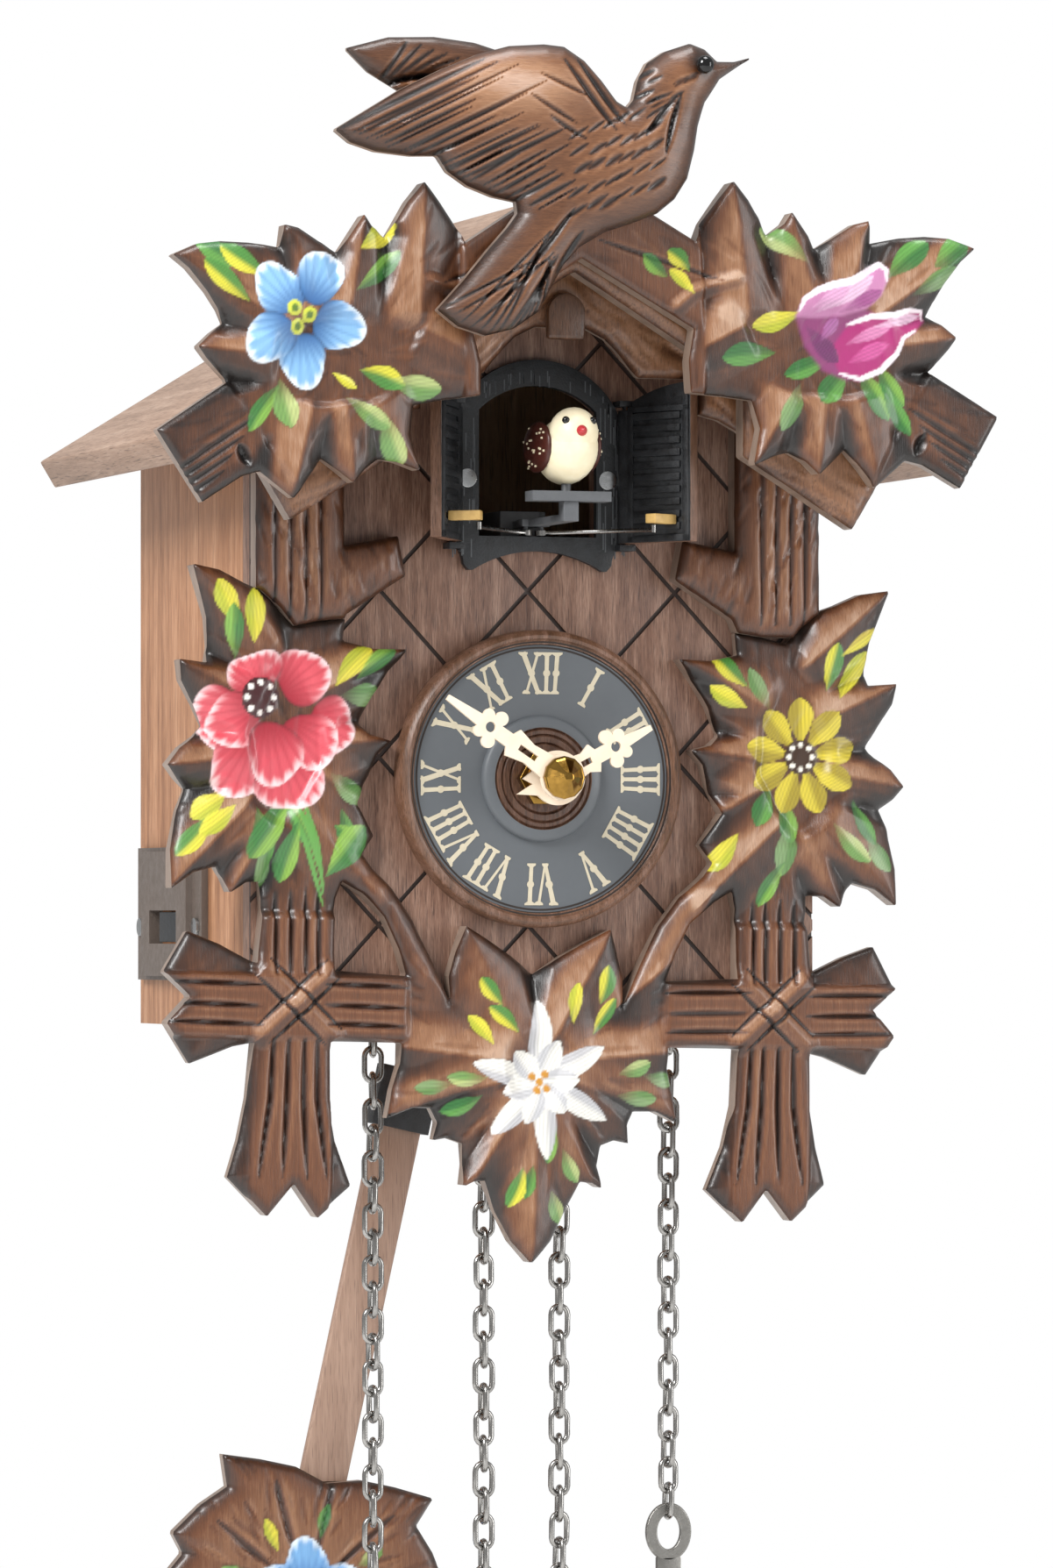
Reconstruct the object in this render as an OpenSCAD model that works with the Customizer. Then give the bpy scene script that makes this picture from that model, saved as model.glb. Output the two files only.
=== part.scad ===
// Chalet cuckoo clock with a battery movement, carved leaves and a carved bird.
// Origin: centre of the hanging hole, on the wall plane. X to the right, Z up, the dial looks to -Y.

/* [Case] */
// Width over the side boards
case_w = 114; // [96:1:138]
// Depth from the wall to the face of the front board
case_d = 75; // [62:1:92]
// Thickness of a side board
side_t = 5; // [4:0.5:8]
// Thickness of the front board
front_t = 5; // [4:0.5:7]
// Thickness of the back board
back_t = 3; // [2.5:0.5:5]
// Thickness of the floor board
floor_t = 5; // [4:0.5:7]
// Height of the hanging hole above the centre of the dial
dial_drop = 76; // [64:1:90]
// Underside of the case below the centre of the dial
case_drop = 47.5; // [44:0.5:57]

/* [Roof] */
// Ridge of the roof above the centre of the dial
ridge_rise = 111; // [104:1:133]
// Pitch of the roof
roof_pitch = 31.4; // [26:0.2:37.6]
// Thickness of a roof board
roof_t = 6; // [5:0.5:7.5]
// Reach of the roof past each side of the case
eave_out = 20.8; // [17:0.1:25]
// Reach of the roof in front of the front board
roof_fwd = 25; // [24:0.5:30]

/* [Carvings] */
// Thickness of the lower carving and the corner posts
leaf_t = 7.5; // [6:0.5:9]
// Thickness of the crown carving
crown_t = 7; // [6:0.5:8.5]
// Thickness of the carved bird
bird_t = 7; // [6:0.5:8.5]
// Thickness of the bird's far wing
far_wing_t = 4; // [3.3:0.1:4.8]
// Turn of the crown as it was pinned on, right side up
crown_turn = 2; // [-3:0.5:3]
// Turn of the lower carving as it was pinned on, right side down
lower_turn = 1.3; // [-2:0.1:2]

/* [Dial and hands] */
// Outer diameter of the wooden dial ring
dial_d = 57; // [47:1:69]
// Height of the dial ring in front of the front board
ring_t = 5; // [4:0.5:6]
// Diameter of the turned boss in the middle of the dial
boss_d = 24.2; // [20:0.2:29]
// Length of the minute hand
minute_len = 27.5; // [23:0.5:33]
// Length of the hour hand
hour_len = 21.3; // [17.5:0.1:25.6]
// Diameter of the threaded bush that clamps the movement
bush_d = 8; // [7:0.5:9.5]
// Diameter of the hour tube
hour_d = 5; // [4.2:0.1:6]
// Diameter of the minute shaft
minute_d = 2.8; // [2.4:0.1:3.3]
// Radial clearance of a turning shaft
shaft_gap = 0.05; // [0.03:0.01:0.1]
// Width and height of the quartz movement
movement_w = 56; // [48:1:60]
// Depth of the quartz movement
movement_d = 16; // [14:0.5:19]

/* [Cuckoo door] */
// Width of the door opening
door_w = 23.8; // [20:0.2:25]
// Height of the door opening in the middle
door_h = 28.9; // [26:0.1:31]
// Sill of the door above the centre of the dial
door_sill = 46.4; // [45:0.1:48]
// Width of the plastic frame on each side of the opening
frame_w = 6.4; // [5.5:0.1:7.2]
// Thickness of the plastic frame
frame_t = 1.6; // [1.4:0.1:2]
// Thickness of a door leaf
leaf_door_t = 2.8; // [2.4:0.1:3.2]
// Travel of the bird carriage
carriage_travel = 28; // [24:0.5:30]

/* [Pendulum] */
// Distance from the pivot to the top of the bob
pendulum_len = 116; // [97:1:139]
// Pivot of the pendulum below the centre of the dial
pivot_drop = 23.5; // [20:0.5:28]
// Distance of the pendulum from the wall
pendulum_off = 20; // [18:0.5:23]
// Width of the wooden rod
rod_w = 9.6; // [8:0.1:11.5]
// Swing to each side
swing = 12.6; // [10:0.1:13]
// Diameter of the pivot pin
pivot_d = 2; // [1.7:0.1:2.4]

/* [Chains and weights] */
// Distance from link to link
link_pitch = 5; // [4.2:0.1:6]
// Thickness of the link wire
link_wire = 1.1; // [0.9:0.05:1.3]
// Width of a link
link_w = 4.4; // [3.7:0.1:5.2]
// Distance of the chains from the face of the front board
chain_back = 8; // [6.8:0.1:9.6]
// Distance of the inner strands from the middle
strand_in = 7.7; // [6.5:0.1:9.2]
// Distance of the outer strands from the middle
strand_out = 30.1; // [25:0.1:36]
// Links in the left strand with a weight
left_links = 25; // [21:2:31]
// Links in the right strand with a weight
right_links = 21; // [17:2:25]
// Links in each inner strand, which ends in a pull ring
ring_links = 25; // [21:2:31]
// Length of a cone weight
cone_len = 88; // [73:1:105]
// Diameter of a cone weight
cone_d = 25; // [21:0.5:29]

/* [Night switch] */
// Height of the switch plate
plate_h = 26; // [22:0.5:31]
// Length of the switch plate
plate_len = 44; // [37:0.5:52]
// Thickness of the switch plate
plate_t = 2.8; // [2.3:0.1:3.3]
// Travel of the slider
slider_travel = 6; // [5:0.5:7]

/* [Hidden] */
$fn = 48;

half = case_w / 2;
face = -case_d;                          // front face of the front board
inner_face = face + front_t;             // back face of the front board
room = half - side_t;                    // half width inside the case
ridge_in = ridge_rise - roof_t / cos(roof_pitch);
function roof_top(x) = ridge_rise - abs(x) * tan(roof_pitch);
function roof_under(x) = ridge_in - abs(x) * tan(roof_pitch);
roof_front = face - roof_fwd;
spread = case_w / 114;                   // the carvings are cut to the width of the case
ring_gap = 1.2;                          // air between the dial ring and the leaves

minute_turn = -56.8;                     // the hands rest at ten to two
hour_turn = 62.8;
hour_y = face - 12.5;                    // back of the hour hand
hand_t = 0.9;
minute_y = hour_y - 3;
nut_len = 4;

frame_face = face - frame_t;
frame_screw_x = door_w / 2 + 2.3;
hinge_x = door_w / 2 + frame_w - 1.1;
hinge_r = leaf_door_t / 2;
hinge_y = frame_face - 0.3 - hinge_r;
door_open = 120;                         // the leaves rest wide open
door_top = door_sill + door_h + 0.4;
door_foot = door_sill - 1.2;
block_at = 13;                           // tip of the link block along the leaf
block_reach = 7;
block_z = door_sill + 3;
arm_z = door_sill + 2;                   // underside of the carriage arm
wire_z = door_sill + 0.8;
rail_top = door_sill - 0.6;
perch_y = face - 19.5;
perch_z = door_sill + 5.8;
wire_root_y = face + 1;
wire_root_x = 1.6;
wire_d = 0.8;
wire_len = 25;
wire_rest = 39.5;                        // angle of a link wire with the doors open
pinion_r = 4.5;
pinion_n = 12;
tooth = 2 * PI * pinion_r / pinion_n;

chain_y = face + chain_back;
bar_z = -38;
bar_r = 0.8;
link_in = link_pitch / 2 + 0.15;         // half of the opening of a link
link_out = link_in + link_wire;
first_link = bar_z + bar_r + 0.15 - link_in;

slider_len = 12;
slot_len = slider_len + slider_travel + 0.6;
slot_h = 6.5;
plate_top = -12.8;
plate_back = -3;
plate_mid = plate_back - plate_len / 2;
slot_z = plate_top - 0.6 * plate_h;

hang_r = 4;                              // head hole of the hanger
neck_w = 3.6;
plate_w = 26;
hanger_t = 1.5;

// ---- outlines, right half, seen from the front, z from the centre of the dial ----
side_leaf = [[57, 34.2], [60, 35.3], [65, 37.6], [70.5, 38.5], [69, 34], [67.2, 28.5], [66.6, 23],
  [67, 20], [72.6, 20.5], [72, 16.5], [69.5, 12.3], [67.3, 8], [69, 6], [72, 3.8], [74.5, 0.6],
  [72.5, -2], [70.4, -4], [72, -8], [73.4, -15.5], [73.3, -22.7], [69, -19.6], [64.5, -18.4],
  [63, -20.5], [61.7, -23.3], [58.5, -21.2], [55.5, -21], [55, -26.4], [56, -36.5], [63, -33],
  [69.5, -30.6], [74, -38.5], [69, -43], [73.6, -48], [68.5, -55.7], [60, -52.3], [56.2, -51.5],
  [57, -62], [58.5, -70], [60.5, -77], [53, -84.3], [47.8, -78], [43, -84.5], [36, -78.3],
  [39.3, -70], [41, -62], [41.3, -51], [27, -51], [27, -55], [28.4, -60], [29.3, -65.4],
  [24.5, -63.3], [20.5, -63.4], [19.2, -66], [19.8, -69.5], [17, -69], [14, -70], [13.6, -74],
  [14, -78.3], [12, -77.2], [9.6, -77], [7, -83], [4, -88.5], [0, -92.8]];
inner_edge = [[0, -37.5], [5, -34], [10, -31], [14.6, -28.5], [16.2, -33], [17.6, -38],
  [17.4, -43.4], [21, -35.5], [25, -27.5], [29, -22], [33.5, -18], [35.5, -15.3], [33, -11.8],
  [37, -5.7], [34.5, -1], [33, 3.6], [30.3, 6.3], [34.5, 7.4], [36.5, 9.3], [34, 14.8], [31, 19.3],
  [27.5, 23.8], [34, 23.7], [40, 25], [39.5, 29.3], [45.5, 28.6], [50, 27.5], [53, 31]];
window_edge = [[39.5, -20.6], [35.5, -22.8], [31, -27], [28, -33], [26.2, -38.3], [40.8, -37.5],
  [40.5, -24]];
post_edge = [[40.5, 27.6], [39, 31], [27.3, 38.4], [28.8, 46], [39.5, 44]];
crown_leaf = [[23, 100.5], [24.5, 104], [28, 108.6], [30.8, 112], [34, 108.3], [36.9, 103.7],
  [38.2, 101.7], [41.2, 103.8], [42.7, 106], [45, 102.8], [47.7, 99], [51.5, 101.2],
  [55.5, 103.6], [58.3, 104.2], [59, 100], [65, 101], [70.3, 101.3], [75, 100.8], [80, 98.8],
  [77, 96.3], [73.5, 92], [71.3, 88.5], [70.3, 86], [73, 84.2], [75.7, 81.8], [74, 79.5],
  [70, 75.2], [84, 66.5], [75.7, 53], [68, 57.6], [64.5, 58.5], [58, 53.3], [55.5, 56.8],
  [52.3, 60.7], [49.5, 58.5], [46.5, 56], [44, 58.6], [41, 60.4], [37.8, 59.8], [33.3, 58],
  [35, 65], [33.8, 70.4], [28, 71.3], [21, 72], [20.8, 78], [22, 83.8]];
bird_body = [[32, 136], [28, 134.9], [24.5, 134.8], [22, 137], [19, 138], [14, 136.3], [10.5, 134],
  [8.6, 130.5], [7.8, 127], [6.5, 125.5], [4.5, 126.6], [1.5, 130.3], [-2, 134], [-6, 136.5],
  [-10, 136.8], [-17, 136.2], [-23, 134.5], [-30, 131.5], [-38, 127.5], [-45, 123.2],
  [-51, 119.5], [-48, 117.2], [-43, 115.7], [-36, 115.1], [-31, 115.3], [-29, 112.4],
  [-25, 109.8], [-20, 108], [-15.5, 107.2], [-15.2, 105], [-17, 102.5], [-21, 98], [-26, 92],
  [-31, 86.6], [-27, 83.6], [-21.5, 82], [-16, 83.4], [-11, 86.8], [-9, 90.5], [-6.2, 95.5],
  [-3, 99], [2, 102], [8, 104], [12.5, 105.8], [16, 108.6], [18.6, 112.6], [20, 118],
  [20.7, 122.5], [22, 127], [25, 131.5], [29, 134.2]];
far_wing = [[-14, 135], [-22, 137.2], [-30, 138], [-39, 137.6], [-47.5, 135.2], [-43, 131],
  [-36.5, 127.4], [-28, 124], [-16, 124]];
valance_edge = [[15.6, 76.3], [13.8, 78.4], [11.4, 81.2], [9, 83.5], [5, 85.5]];
bob_half = [[0, -1.4], [7, 0.6], [14, 0.6], [22.3, 0], [20, -6], [24.5, -10.5], [29, -17],
  [26, -20.5], [29.5, -27], [24, -30], [19, -33.5], [20, -41], [14.5, -41.5], [11, -45],
  [6.5, -52.5], [0, -61]];

// ---- helpers ----
module at_dial() { translate([0, 0, -dial_drop]) children(); }
// A front-view outline made solid from y towards the viewer
module board(y, t) { translate([0, y, 0]) rotate([90, 0, 0]) linear_extrude(t) children(); }
// A round bar along Y, from y towards the viewer
module bar_y(x, y, z, r, len) { translate([x, y, z]) rotate([90, 0, 0]) cylinder(r = r, h = len); }
module box(low, high) { translate(low) cube(high - low); }
function wide(pts) = [for (p = pts) [p[0] * spread, p[1]]];
function flip(pts) = [for (i = [len(pts) - 1 : -1 : 0]) [-pts[i][0], pts[i][1]]];
function lift(pts, dz) = [for (p = pts) [p[0], p[1] + dz]];
module both_sides() { children(); mirror([1, 0, 0]) children(); }
module tube(r_out, r_in, len) {
  difference() {
    cylinder(r = r_out, h = len);
    translate([0, 0, -1]) cylinder(r = r_in, h = len + 2);
  }
}

// ---- case ----
speaker_x = 34;
speaker_z = -25;
module gable_outline(w) {
  polygon([[-w, -case_drop], [w, -case_drop], [w, roof_under(w)], [0, roof_under(0)],
    [-w, roof_under(w)]]);
}
module back_board() color("#8a5a3c") at_dial() difference() {
  board(0, back_t) gable_outline(room);
  box([-27, -back_t - 1, -8.5], [27, 1, 39.5]);
  box([-plate_w / 2 - 0.2, -hanger_t, dial_drop - 7.2],
    [plate_w / 2 + 0.2, 1, dial_drop + 9.2]);
  bar_y(0, 1, dial_drop, hang_r + 1, back_t + 2);
  for (s = [-1, 1]) bar_y(s * 9.5, 1, dial_drop, 0.9, back_t + 2);
  for (a = [0 : 60 : 300])
    bar_y(speaker_x + 8 * cos(a), 1, speaker_z + 8 * sin(a), 2, back_t + 2);
  bar_y(speaker_x, 1, speaker_z, 2, back_t + 2);
  box([-11, -back_t - 1, -case_drop - 1], [11, 1, -case_drop + 9]);
}
module side_board() {
  board(0, case_d - front_t) polygon([[room, -case_drop], [half, -case_drop],
    [half, roof_under(half)], [room, roof_under(room)]]);
}
module right_side() color("#a9744c") at_dial() side_board();
module left_side() color("#a9744c") at_dial() difference() {
  mirror([1, 0, 0]) side_board();
  box([-half - 1, plate_mid - slot_len / 2, slot_z - slot_h / 2 - 1],
    [-room + 1, plate_mid + slot_len / 2, slot_z + slot_h / 2 + 1]);
  for (s = [-1, 1]) translate([-half - 1, plate_mid + s * (plate_len / 2 - 3), slot_z])
    rotate([0, 90, 0]) cylinder(r = 0.9, h = 5);
}
module floor_board() color("#8a5a3c") at_dial() difference() {
  box([-room, inner_face, -case_drop], [room, -back_t, -case_drop + floor_t]);
  for (x = [strand_in, strand_out]) both_sides()
    box([x - 3.4, inner_face - 1, -case_drop - 1], [x + 3.4, chain_y + 5, -case_drop + 9]);
  box([-15, -pendulum_off - 5, -case_drop - 1], [15, -pendulum_off + 5, -case_drop + 9]);
}
lattice_w = 30;
lattice_h = 32;
module lattice() {
  lean = atan2(lattice_h, lattice_w);
  for (k = [-3 : 3], s = [-1, 1]) translate([-1.5 + k * lattice_w, face, 36 - lattice_h])
    rotate([0, s * lean, 0]) box([-120, -1, -0.4], [120, 0.5, 0.4]);
}
module front_board() color("#6b4530") at_dial() difference() {
  board(inner_face, front_t) gable_outline(half);
  lattice();
  board(inner_face + 1, front_t + 2) door_opening(0.8);
  bar_y(0, inner_face + 1, 0, bush_d / 2 + 0.2, front_t + 2);
  for (s = [-1, 1]) bar_y(s * frame_screw_x, inner_face - 1, door_sill + 11, 0.9, 9);
}
module roof_board() {
  board(0, case_d + roof_fwd) polygon([[0, ridge_rise],
    [half + eave_out, roof_top(half + eave_out)],
    [half + eave_out - roof_t * sin(roof_pitch),
      roof_top(half + eave_out) - roof_t * cos(roof_pitch)],
    [0, roof_under(0)]]);
}
module roof_right() color("#8c6b58") at_dial() roof_board();
module roof_left() color("#8c6b58") at_dial() mirror([1, 0, 0]) roof_board();
// Boards under the front edge of the roof, slim over the gable and deeper towards their ends
barge_slim = 8.5;
barge_deep = 22;
barge_step = 34;
barge_end = half + 9;
module bargeboards() color("#5a3826") at_dial() board(roof_front + 6, 6) {
  end_x = barge_end - barge_deep * sin(roof_pitch) * cos(roof_pitch);
  end_z = roof_under(barge_end) - barge_deep * cos(roof_pitch) * cos(roof_pitch);
  step = barge_step * spread;
  edge = [[barge_end, roof_under(barge_end)], [end_x, end_z],
    [step, roof_under(step) - barge_deep], [step, roof_under(step) - barge_slim]];
  polygon([[0, roof_under(0)], each edge, [0, roof_under(0) - barge_slim], each flip(edge)]);
}
// The scalloped board behind them, cut away over the open doors
valance_y = face - 13;
door_swing_x = hinge_x + (hinge_x - 0.25) * -cos(door_open) + hinge_r + 0.9;
module gable_valance() color("#54331f") at_dial() board(valance_y, 3.5) {
  edge = [[door_swing_x + 12, roof_under(door_swing_x + 12)], [door_swing_x + 11, 63.4],
    [door_swing_x + 8, 66.4], [door_swing_x + 4, 68.5], [door_swing_x, 69.5],
    [door_swing_x, 76.3], each valance_edge];
  polygon([[0, roof_under(0)], each edge, each flip(edge)]);
}
// A turned peg under the middle of the valance
module valance_drop() color("#3a2418") at_dial() translate([0, valance_y - 3.5, 88])
  rotate([90, 0, 0]) {
    cylinder(r = 3.8, h = 2.2);
    box([-3.8, -5, 0], [3.8, 0, 2.2]);
  }
module hanger_plate() color("#b9a05a") at_dial() translate([0, 0, dial_drop]) difference() {
  box([-plate_w / 2, -hanger_t, -7], [plate_w / 2, 0, 9]);
  bar_y(0, 1, 0, hang_r, hanger_t + 2);
  box([-neck_w / 2, -hanger_t - 1, 0], [neck_w / 2, 1, 6]);
  for (s = [-1, 1]) bar_y(s * 9.5, 1, 0, 0.9, hanger_t + 2);
}
module pan_screw(r, len, head = 0.7) {
  cylinder(r = r, h = head);
  translate([0, 0, -len]) cylinder(r = 0.8, h = len);
}
// Screws of the hanger and the switch plate, and flat-headed ones the door leaves close over
module small_screws() color("#b8b8b4") at_dial() {
  for (s = [-1, 1]) {
    translate([s * 9.5, -back_t, dial_drop]) rotate([90, 0, 0]) pan_screw(1.8, back_t - 0.2);
    translate([s * frame_screw_x, frame_face, door_sill + 11])
      rotate([90, 0, 0]) pan_screw(1.8, 5, 0.2);
    translate([-half - 1.4, plate_mid + s * (plate_len / 2 - 3), slot_z])
      rotate([0, -90, 0]) pan_screw(1.8, 4);
  }
}

// ---- carvings ----
lower_half = [each inner_edge, each side_leaf];
module lower_outline() polygon(wide([each lower_half, each flip(lower_half)]));
module lower_carving() color("#6e4530") at_dial() rotate([0, lower_turn, 0])
  board(face, leaf_t) difference() {
    lower_outline();
    both_sides() polygon(wide(window_edge));
    circle(r = dial_d / 2 + ring_gap, $fn = 96);
  }
module corner_posts() color("#7a5236") at_dial() board(face, leaf_t) difference() {
  both_sides() polygon(wide([each post_edge, [39.5, 70], [57, 60], [57, 27.6]]));
  rotate(-lower_turn) lower_outline();
}
crown_dz = ridge_rise - 111;
crown_dip = (tan(31.4) - tan(roof_pitch)) * 52;
module rafter_band() {
  polygon([[0, roof_top(0) + 3.5], [24 * spread, roof_top(24 * spread) + 3.5],
    [24 * spread, roof_top(24 * spread) - 13.5], [0, roof_top(0) - 13.5]]);
}
module crown_carving() color("#6e4530") at_dial() translate([0, 0, 80]) rotate([0, -crown_turn, 0])
  translate([0, 0, -80]) board(roof_front, crown_t) both_sides() {
    rafter_band();
    polygon(wide(lift(crown_leaf, crown_dz + crown_dip)));
  }
bird_y = roof_front - crown_t;
module bird_carving() color("#8a5632") at_dial() board(bird_y, bird_t)
  polygon(lift(bird_body, crown_dz));
module bird_far_wing() color("#3d2417") at_dial() board(bird_y + far_wing_t, far_wing_t)
  polygon(lift(far_wing, crown_dz));
module bird_eye() color("#15110f") at_dial()
  translate([20.3, bird_y - bird_t, 133.6 + crown_dz]) sphere(r = 1.7);

// ---- dial and hands ----
module on_axis(y) { translate([0, y, 0]) rotate([90, 0, 0]) children(); }
disc_t = 3.4;
boss_t = 1.8;
ring_w = 2.8;
module dial_ring() color("#7d5a45") at_dial() on_axis(face) rotate_extrude($fn = 96)
  translate([dial_d / 2 - ring_w, 0]) polygon([[0, 0], [ring_w, 0], [ring_w, ring_t - 0.8],
    [ring_w - 0.8, ring_t], [0.5, ring_t], [0, ring_t - 0.5]]);
module dial_disc() color("#6e7275") at_dial() on_axis(face) difference() {
  cylinder(r = dial_d / 2 - ring_w, h = disc_t, $fn = 96);
  translate([0, 0, -1]) cylinder(r = bush_d / 2 + 0.2, h = disc_t + 2);
}
module dial_boss() color("#5d3a28") at_dial() on_axis(face - disc_t) difference() {
  cylinder(r = boss_d / 2, h = boss_t, $fn = 96);
  for (r = [6.9, 8.6, 10.3]) translate([0, 0, boss_t - 0.5]) tube(r, r - 0.5, 2);
  translate([0, 0, -1]) cylinder(r = bush_d / 2 + 0.2, h = boss_t + 2);
}
// A pierced hand that points up: shoulders at mid, a four-lobed eye at eye_at
module pierced_hand(len, hub, hole, mid, eye_at) difference() {
  union() {
    cylinder(r = hub, h = hand_t);
    linear_extrude(hand_t) polygon([[-2.6, 2], [-2, (mid + 4.4) / 2], [-2.9, mid], [-1.4, mid + 0.8],
      [-1.4, eye_at], [-0.55, len], [0.55, len], [1.4, eye_at], [1.4, mid + 0.8], [2.9, mid],
      [2, (mid + 4.4) / 2], [2.6, 2]]);
    translate([0, eye_at, 0]) cylinder(r = 2.4, h = hand_t);
    for (s = [-1, 1]) {
      translate([s * 2.5, eye_at - 1, 0]) cylinder(r = 1.35, h = hand_t);
      translate([s * 1.8, eye_at + 1.5, 0]) cylinder(r = 1.15, h = hand_t);
    }
  }
  translate([0, 0, -1]) cylinder(r = hole, h = 3);
  translate([0, eye_at, -1]) cylinder(r = 1, h = 3);
  translate([-0.6, (mid + 4.8) / 2 - (mid - 4.4) * 0.275, -1]) cube([1.2, (mid - 4.4) * 0.55, 3]);
}
module hand_at(y, turn) { at_dial() on_axis(y) rotate(-turn) children(); }
module hour_hand() color("#efe0c0") hand_at(hour_y, hour_turn) difference() {
  union() {
    pierced_hand(hour_len, 5.2, hour_d / 2, 0.39 * hour_len, 0.62 * hour_len);
    linear_extrude(hand_t) polygon([[-3.6, -3], [-3, -6.3], [-1.2, -5], [-0.9, -8.7], [1.6, -4.4],
      [0, -3]]);
  }
  translate([0, 0, -1]) cylinder(r = hour_d / 2, h = 3);
}
module minute_hand() color("#efe0c0") hand_at(minute_y, minute_turn)
  pierced_hand(minute_len, 4.4, minute_d / 2, 0.435 * minute_len, 0.63 * minute_len);
module hand_nut() color("#c9a227") at_dial() on_axis(minute_y - hand_t) difference() {
  union() {
    cylinder(r = 4.1, h = 1);
    translate([0, 0, 1]) cylinder(r1 = 3.6, r2 = 0.5, h = nut_len - 1);
  }
  translate([0, 0, -1]) cylinder(r = minute_d / 2, h = 2.5);
}
shaft_back = inner_face + movement_d;
module minute_shaft() color("#c8b070") at_dial() on_axis(shaft_back + 4)
  cylinder(r = minute_d / 2, h = shaft_back + 4 - (minute_y - hand_t - 1.5));
module hour_tube() color("#c8b070") at_dial() on_axis(inner_face + 6)
  tube(hour_d / 2, minute_d / 2 + shaft_gap, inner_face + 6 - (hour_y - hand_t));
module movement_case() color("#26282a") at_dial() difference() {
  box([-movement_w / 2, inner_face, -movement_w / 2],
    [movement_w / 2, shaft_back, movement_w / 2]);
  bar_y(0, inner_face + 6.5, 0, hour_d / 2 + 0.4, 7.5);
  bar_y(0, shaft_back + 1, 0, minute_d / 2 + shaft_gap, movement_d + 2);
}
clamp_face = face - disc_t - boss_t;
module clamp_nut() color("#c2a24a") at_dial() difference() {
  union() {
    on_axis(inner_face) cylinder(r = bush_d / 2, h = inner_face - clamp_face + 3);
    on_axis(clamp_face) cylinder(r = 5.6, h = 2.2, $fn = 6);
  }
  on_axis(inner_face + 1) cylinder(r = hour_d / 2 + shaft_gap, h = 30);
}
module set_knob() color("#d8d2c4") at_dial() on_axis(shaft_back + 5.5) difference() {
  union() {
    cylinder(r = 5, h = 4);
    translate([0, 0, 4]) cylinder(r = 3, h = 1.2);
  }
  translate([0, 0, 1.5]) cylinder(r = minute_d / 2, h = 6);
}

// ---- pendulum, drawn hanging straight and turned to its rest at one end of the swing ----
module swung() {
  at_dial() translate([0, -pendulum_off, -pivot_drop]) rotate([0, swing, 0]) children();
}
clip_z = -34;
rod_t = 2.2;
module pendulum_bracket() color("#3a3a3c") at_dial() translate([0, 0, -pivot_drop]) {
  box([-6, -pendulum_off + 3, -5], [6, -back_t, 5]);
  bar_y(0, -pendulum_off + 3, 0, pivot_d / 2, 8);
}
module pendulum_leader() color("#d9d6cc") swung() difference() {
  union() {
    bar_y(0, 2, 0, 3.4, 4);
    box([-2.5, -1, clip_z], [2.5, 1, -2]);
  }
  bar_y(0, 3, 0, pivot_d / 2 + shaft_gap, 6);
}
module pendulum_clip() color("#1c1c1e") swung() difference() {
  box([-rod_w / 2 - 1.2, -2.4, clip_z - 12], [rod_w / 2 + 1.2, 2.4, clip_z]);
  box([-rod_w / 2, -rod_t / 2, clip_z - 13], [rod_w / 2, rod_t / 2, clip_z - 2]);
}
module pendulum_rod() color("#8d6650") swung()
  box([-rod_w / 2, -rod_t / 2, -pendulum_len - 30], [rod_w / 2, rod_t / 2, clip_z - 2]);
module pendulum_bob() color("#6e4530") swung() translate([0, 0, -pendulum_len])
  board(-rod_t / 2, 5) polygon([each bob_half, each flip(bob_half)]);

// ---- cuckoo door ----
module door_opening(grow) {
  w = door_w / 2 + grow;
  rise = 4.8;
  r = (w * w + rise * rise) / (2 * rise);
  top = door_sill + door_h + grow;
  intersection() {
    translate([-w, door_sill - grow]) square([2 * w, door_h + 2 * grow]);
    translate([0, top - r]) circle(r = r, $fn = 96);
  }
}
module door_frame() color("#2b2b2d") at_dial() {
  board(face, frame_t) difference() {
    w = door_w / 2 + frame_w;
    mid = door_sill + door_h + 5 - w;
    union() {
      translate([0, mid]) circle(r = w, $fn = 96);
      translate([-w, door_sill - 1]) square([2 * w, mid - door_sill + 1]);
      polygon([[-w - 0.8, door_sill - 0.6], [-w + 4.3, door_sill - 6.5],
        [w - 4.3, door_sill - 6.5], [w + 0.8, door_sill - 0.6]]);
    }
    door_opening(0);
    translate([0, door_sill - 27.8]) circle(r = 25, $fn = 96);
    for (s = [-1, 1]) {
      translate([s * (w + 1.5), door_sill - 5.4]) circle(r = 4.8);
      translate([s * frame_screw_x, door_sill + 11]) circle(r = 0.9);
    }
  }
  for (s = [-1, 1], z = [door_foot - 1.4, door_top - 4.2]) difference() {
    box([s * hinge_x - 1.6, hinge_y - 1.4, z], [s * hinge_x + 1.6, face - 0.5, z + 1.1]);
    translate([s * hinge_x, hinge_y, z - 1]) cylinder(r = 0.65, h = 4);
  }
}
// A door leaf, drawn shut on the right side with its pin on the Z axis
hinge_top = door_top - 4.5;
module shut_leaf() {
  reach = hinge_x - 0.25;
  rise = door_top - hinge_top;
  r = (hinge_x * hinge_x + rise * rise) / (2 * rise);
  translate([0, 0, door_foot]) cylinder(r = hinge_r, h = hinge_top - 0.4 - door_foot);
  translate([0, 0, door_foot - 1.2]) cylinder(r = 0.6, h = hinge_top - door_foot + 1.8);
  intersection() {
    box([-reach, -hinge_r, door_foot], [0, hinge_r, door_top]);
    translate([-hinge_x, 20, door_top - r]) rotate([90, 0, 0]) cylinder(r = r, h = 40, $fn = 96);
    union() {
      box([-reach, -5, door_foot], [-2.2, 5, door_top]);
      box([-reach, -5, door_foot], [0, 5, hinge_top - 0.4]);
    }
  }
}
module on_door(s) {
  at_dial() mirror([s < 0 ? 1 : 0, 0, 0]) translate([hinge_x, hinge_y, 0])
    rotate([0, 0, door_open]) children();
}
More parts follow.
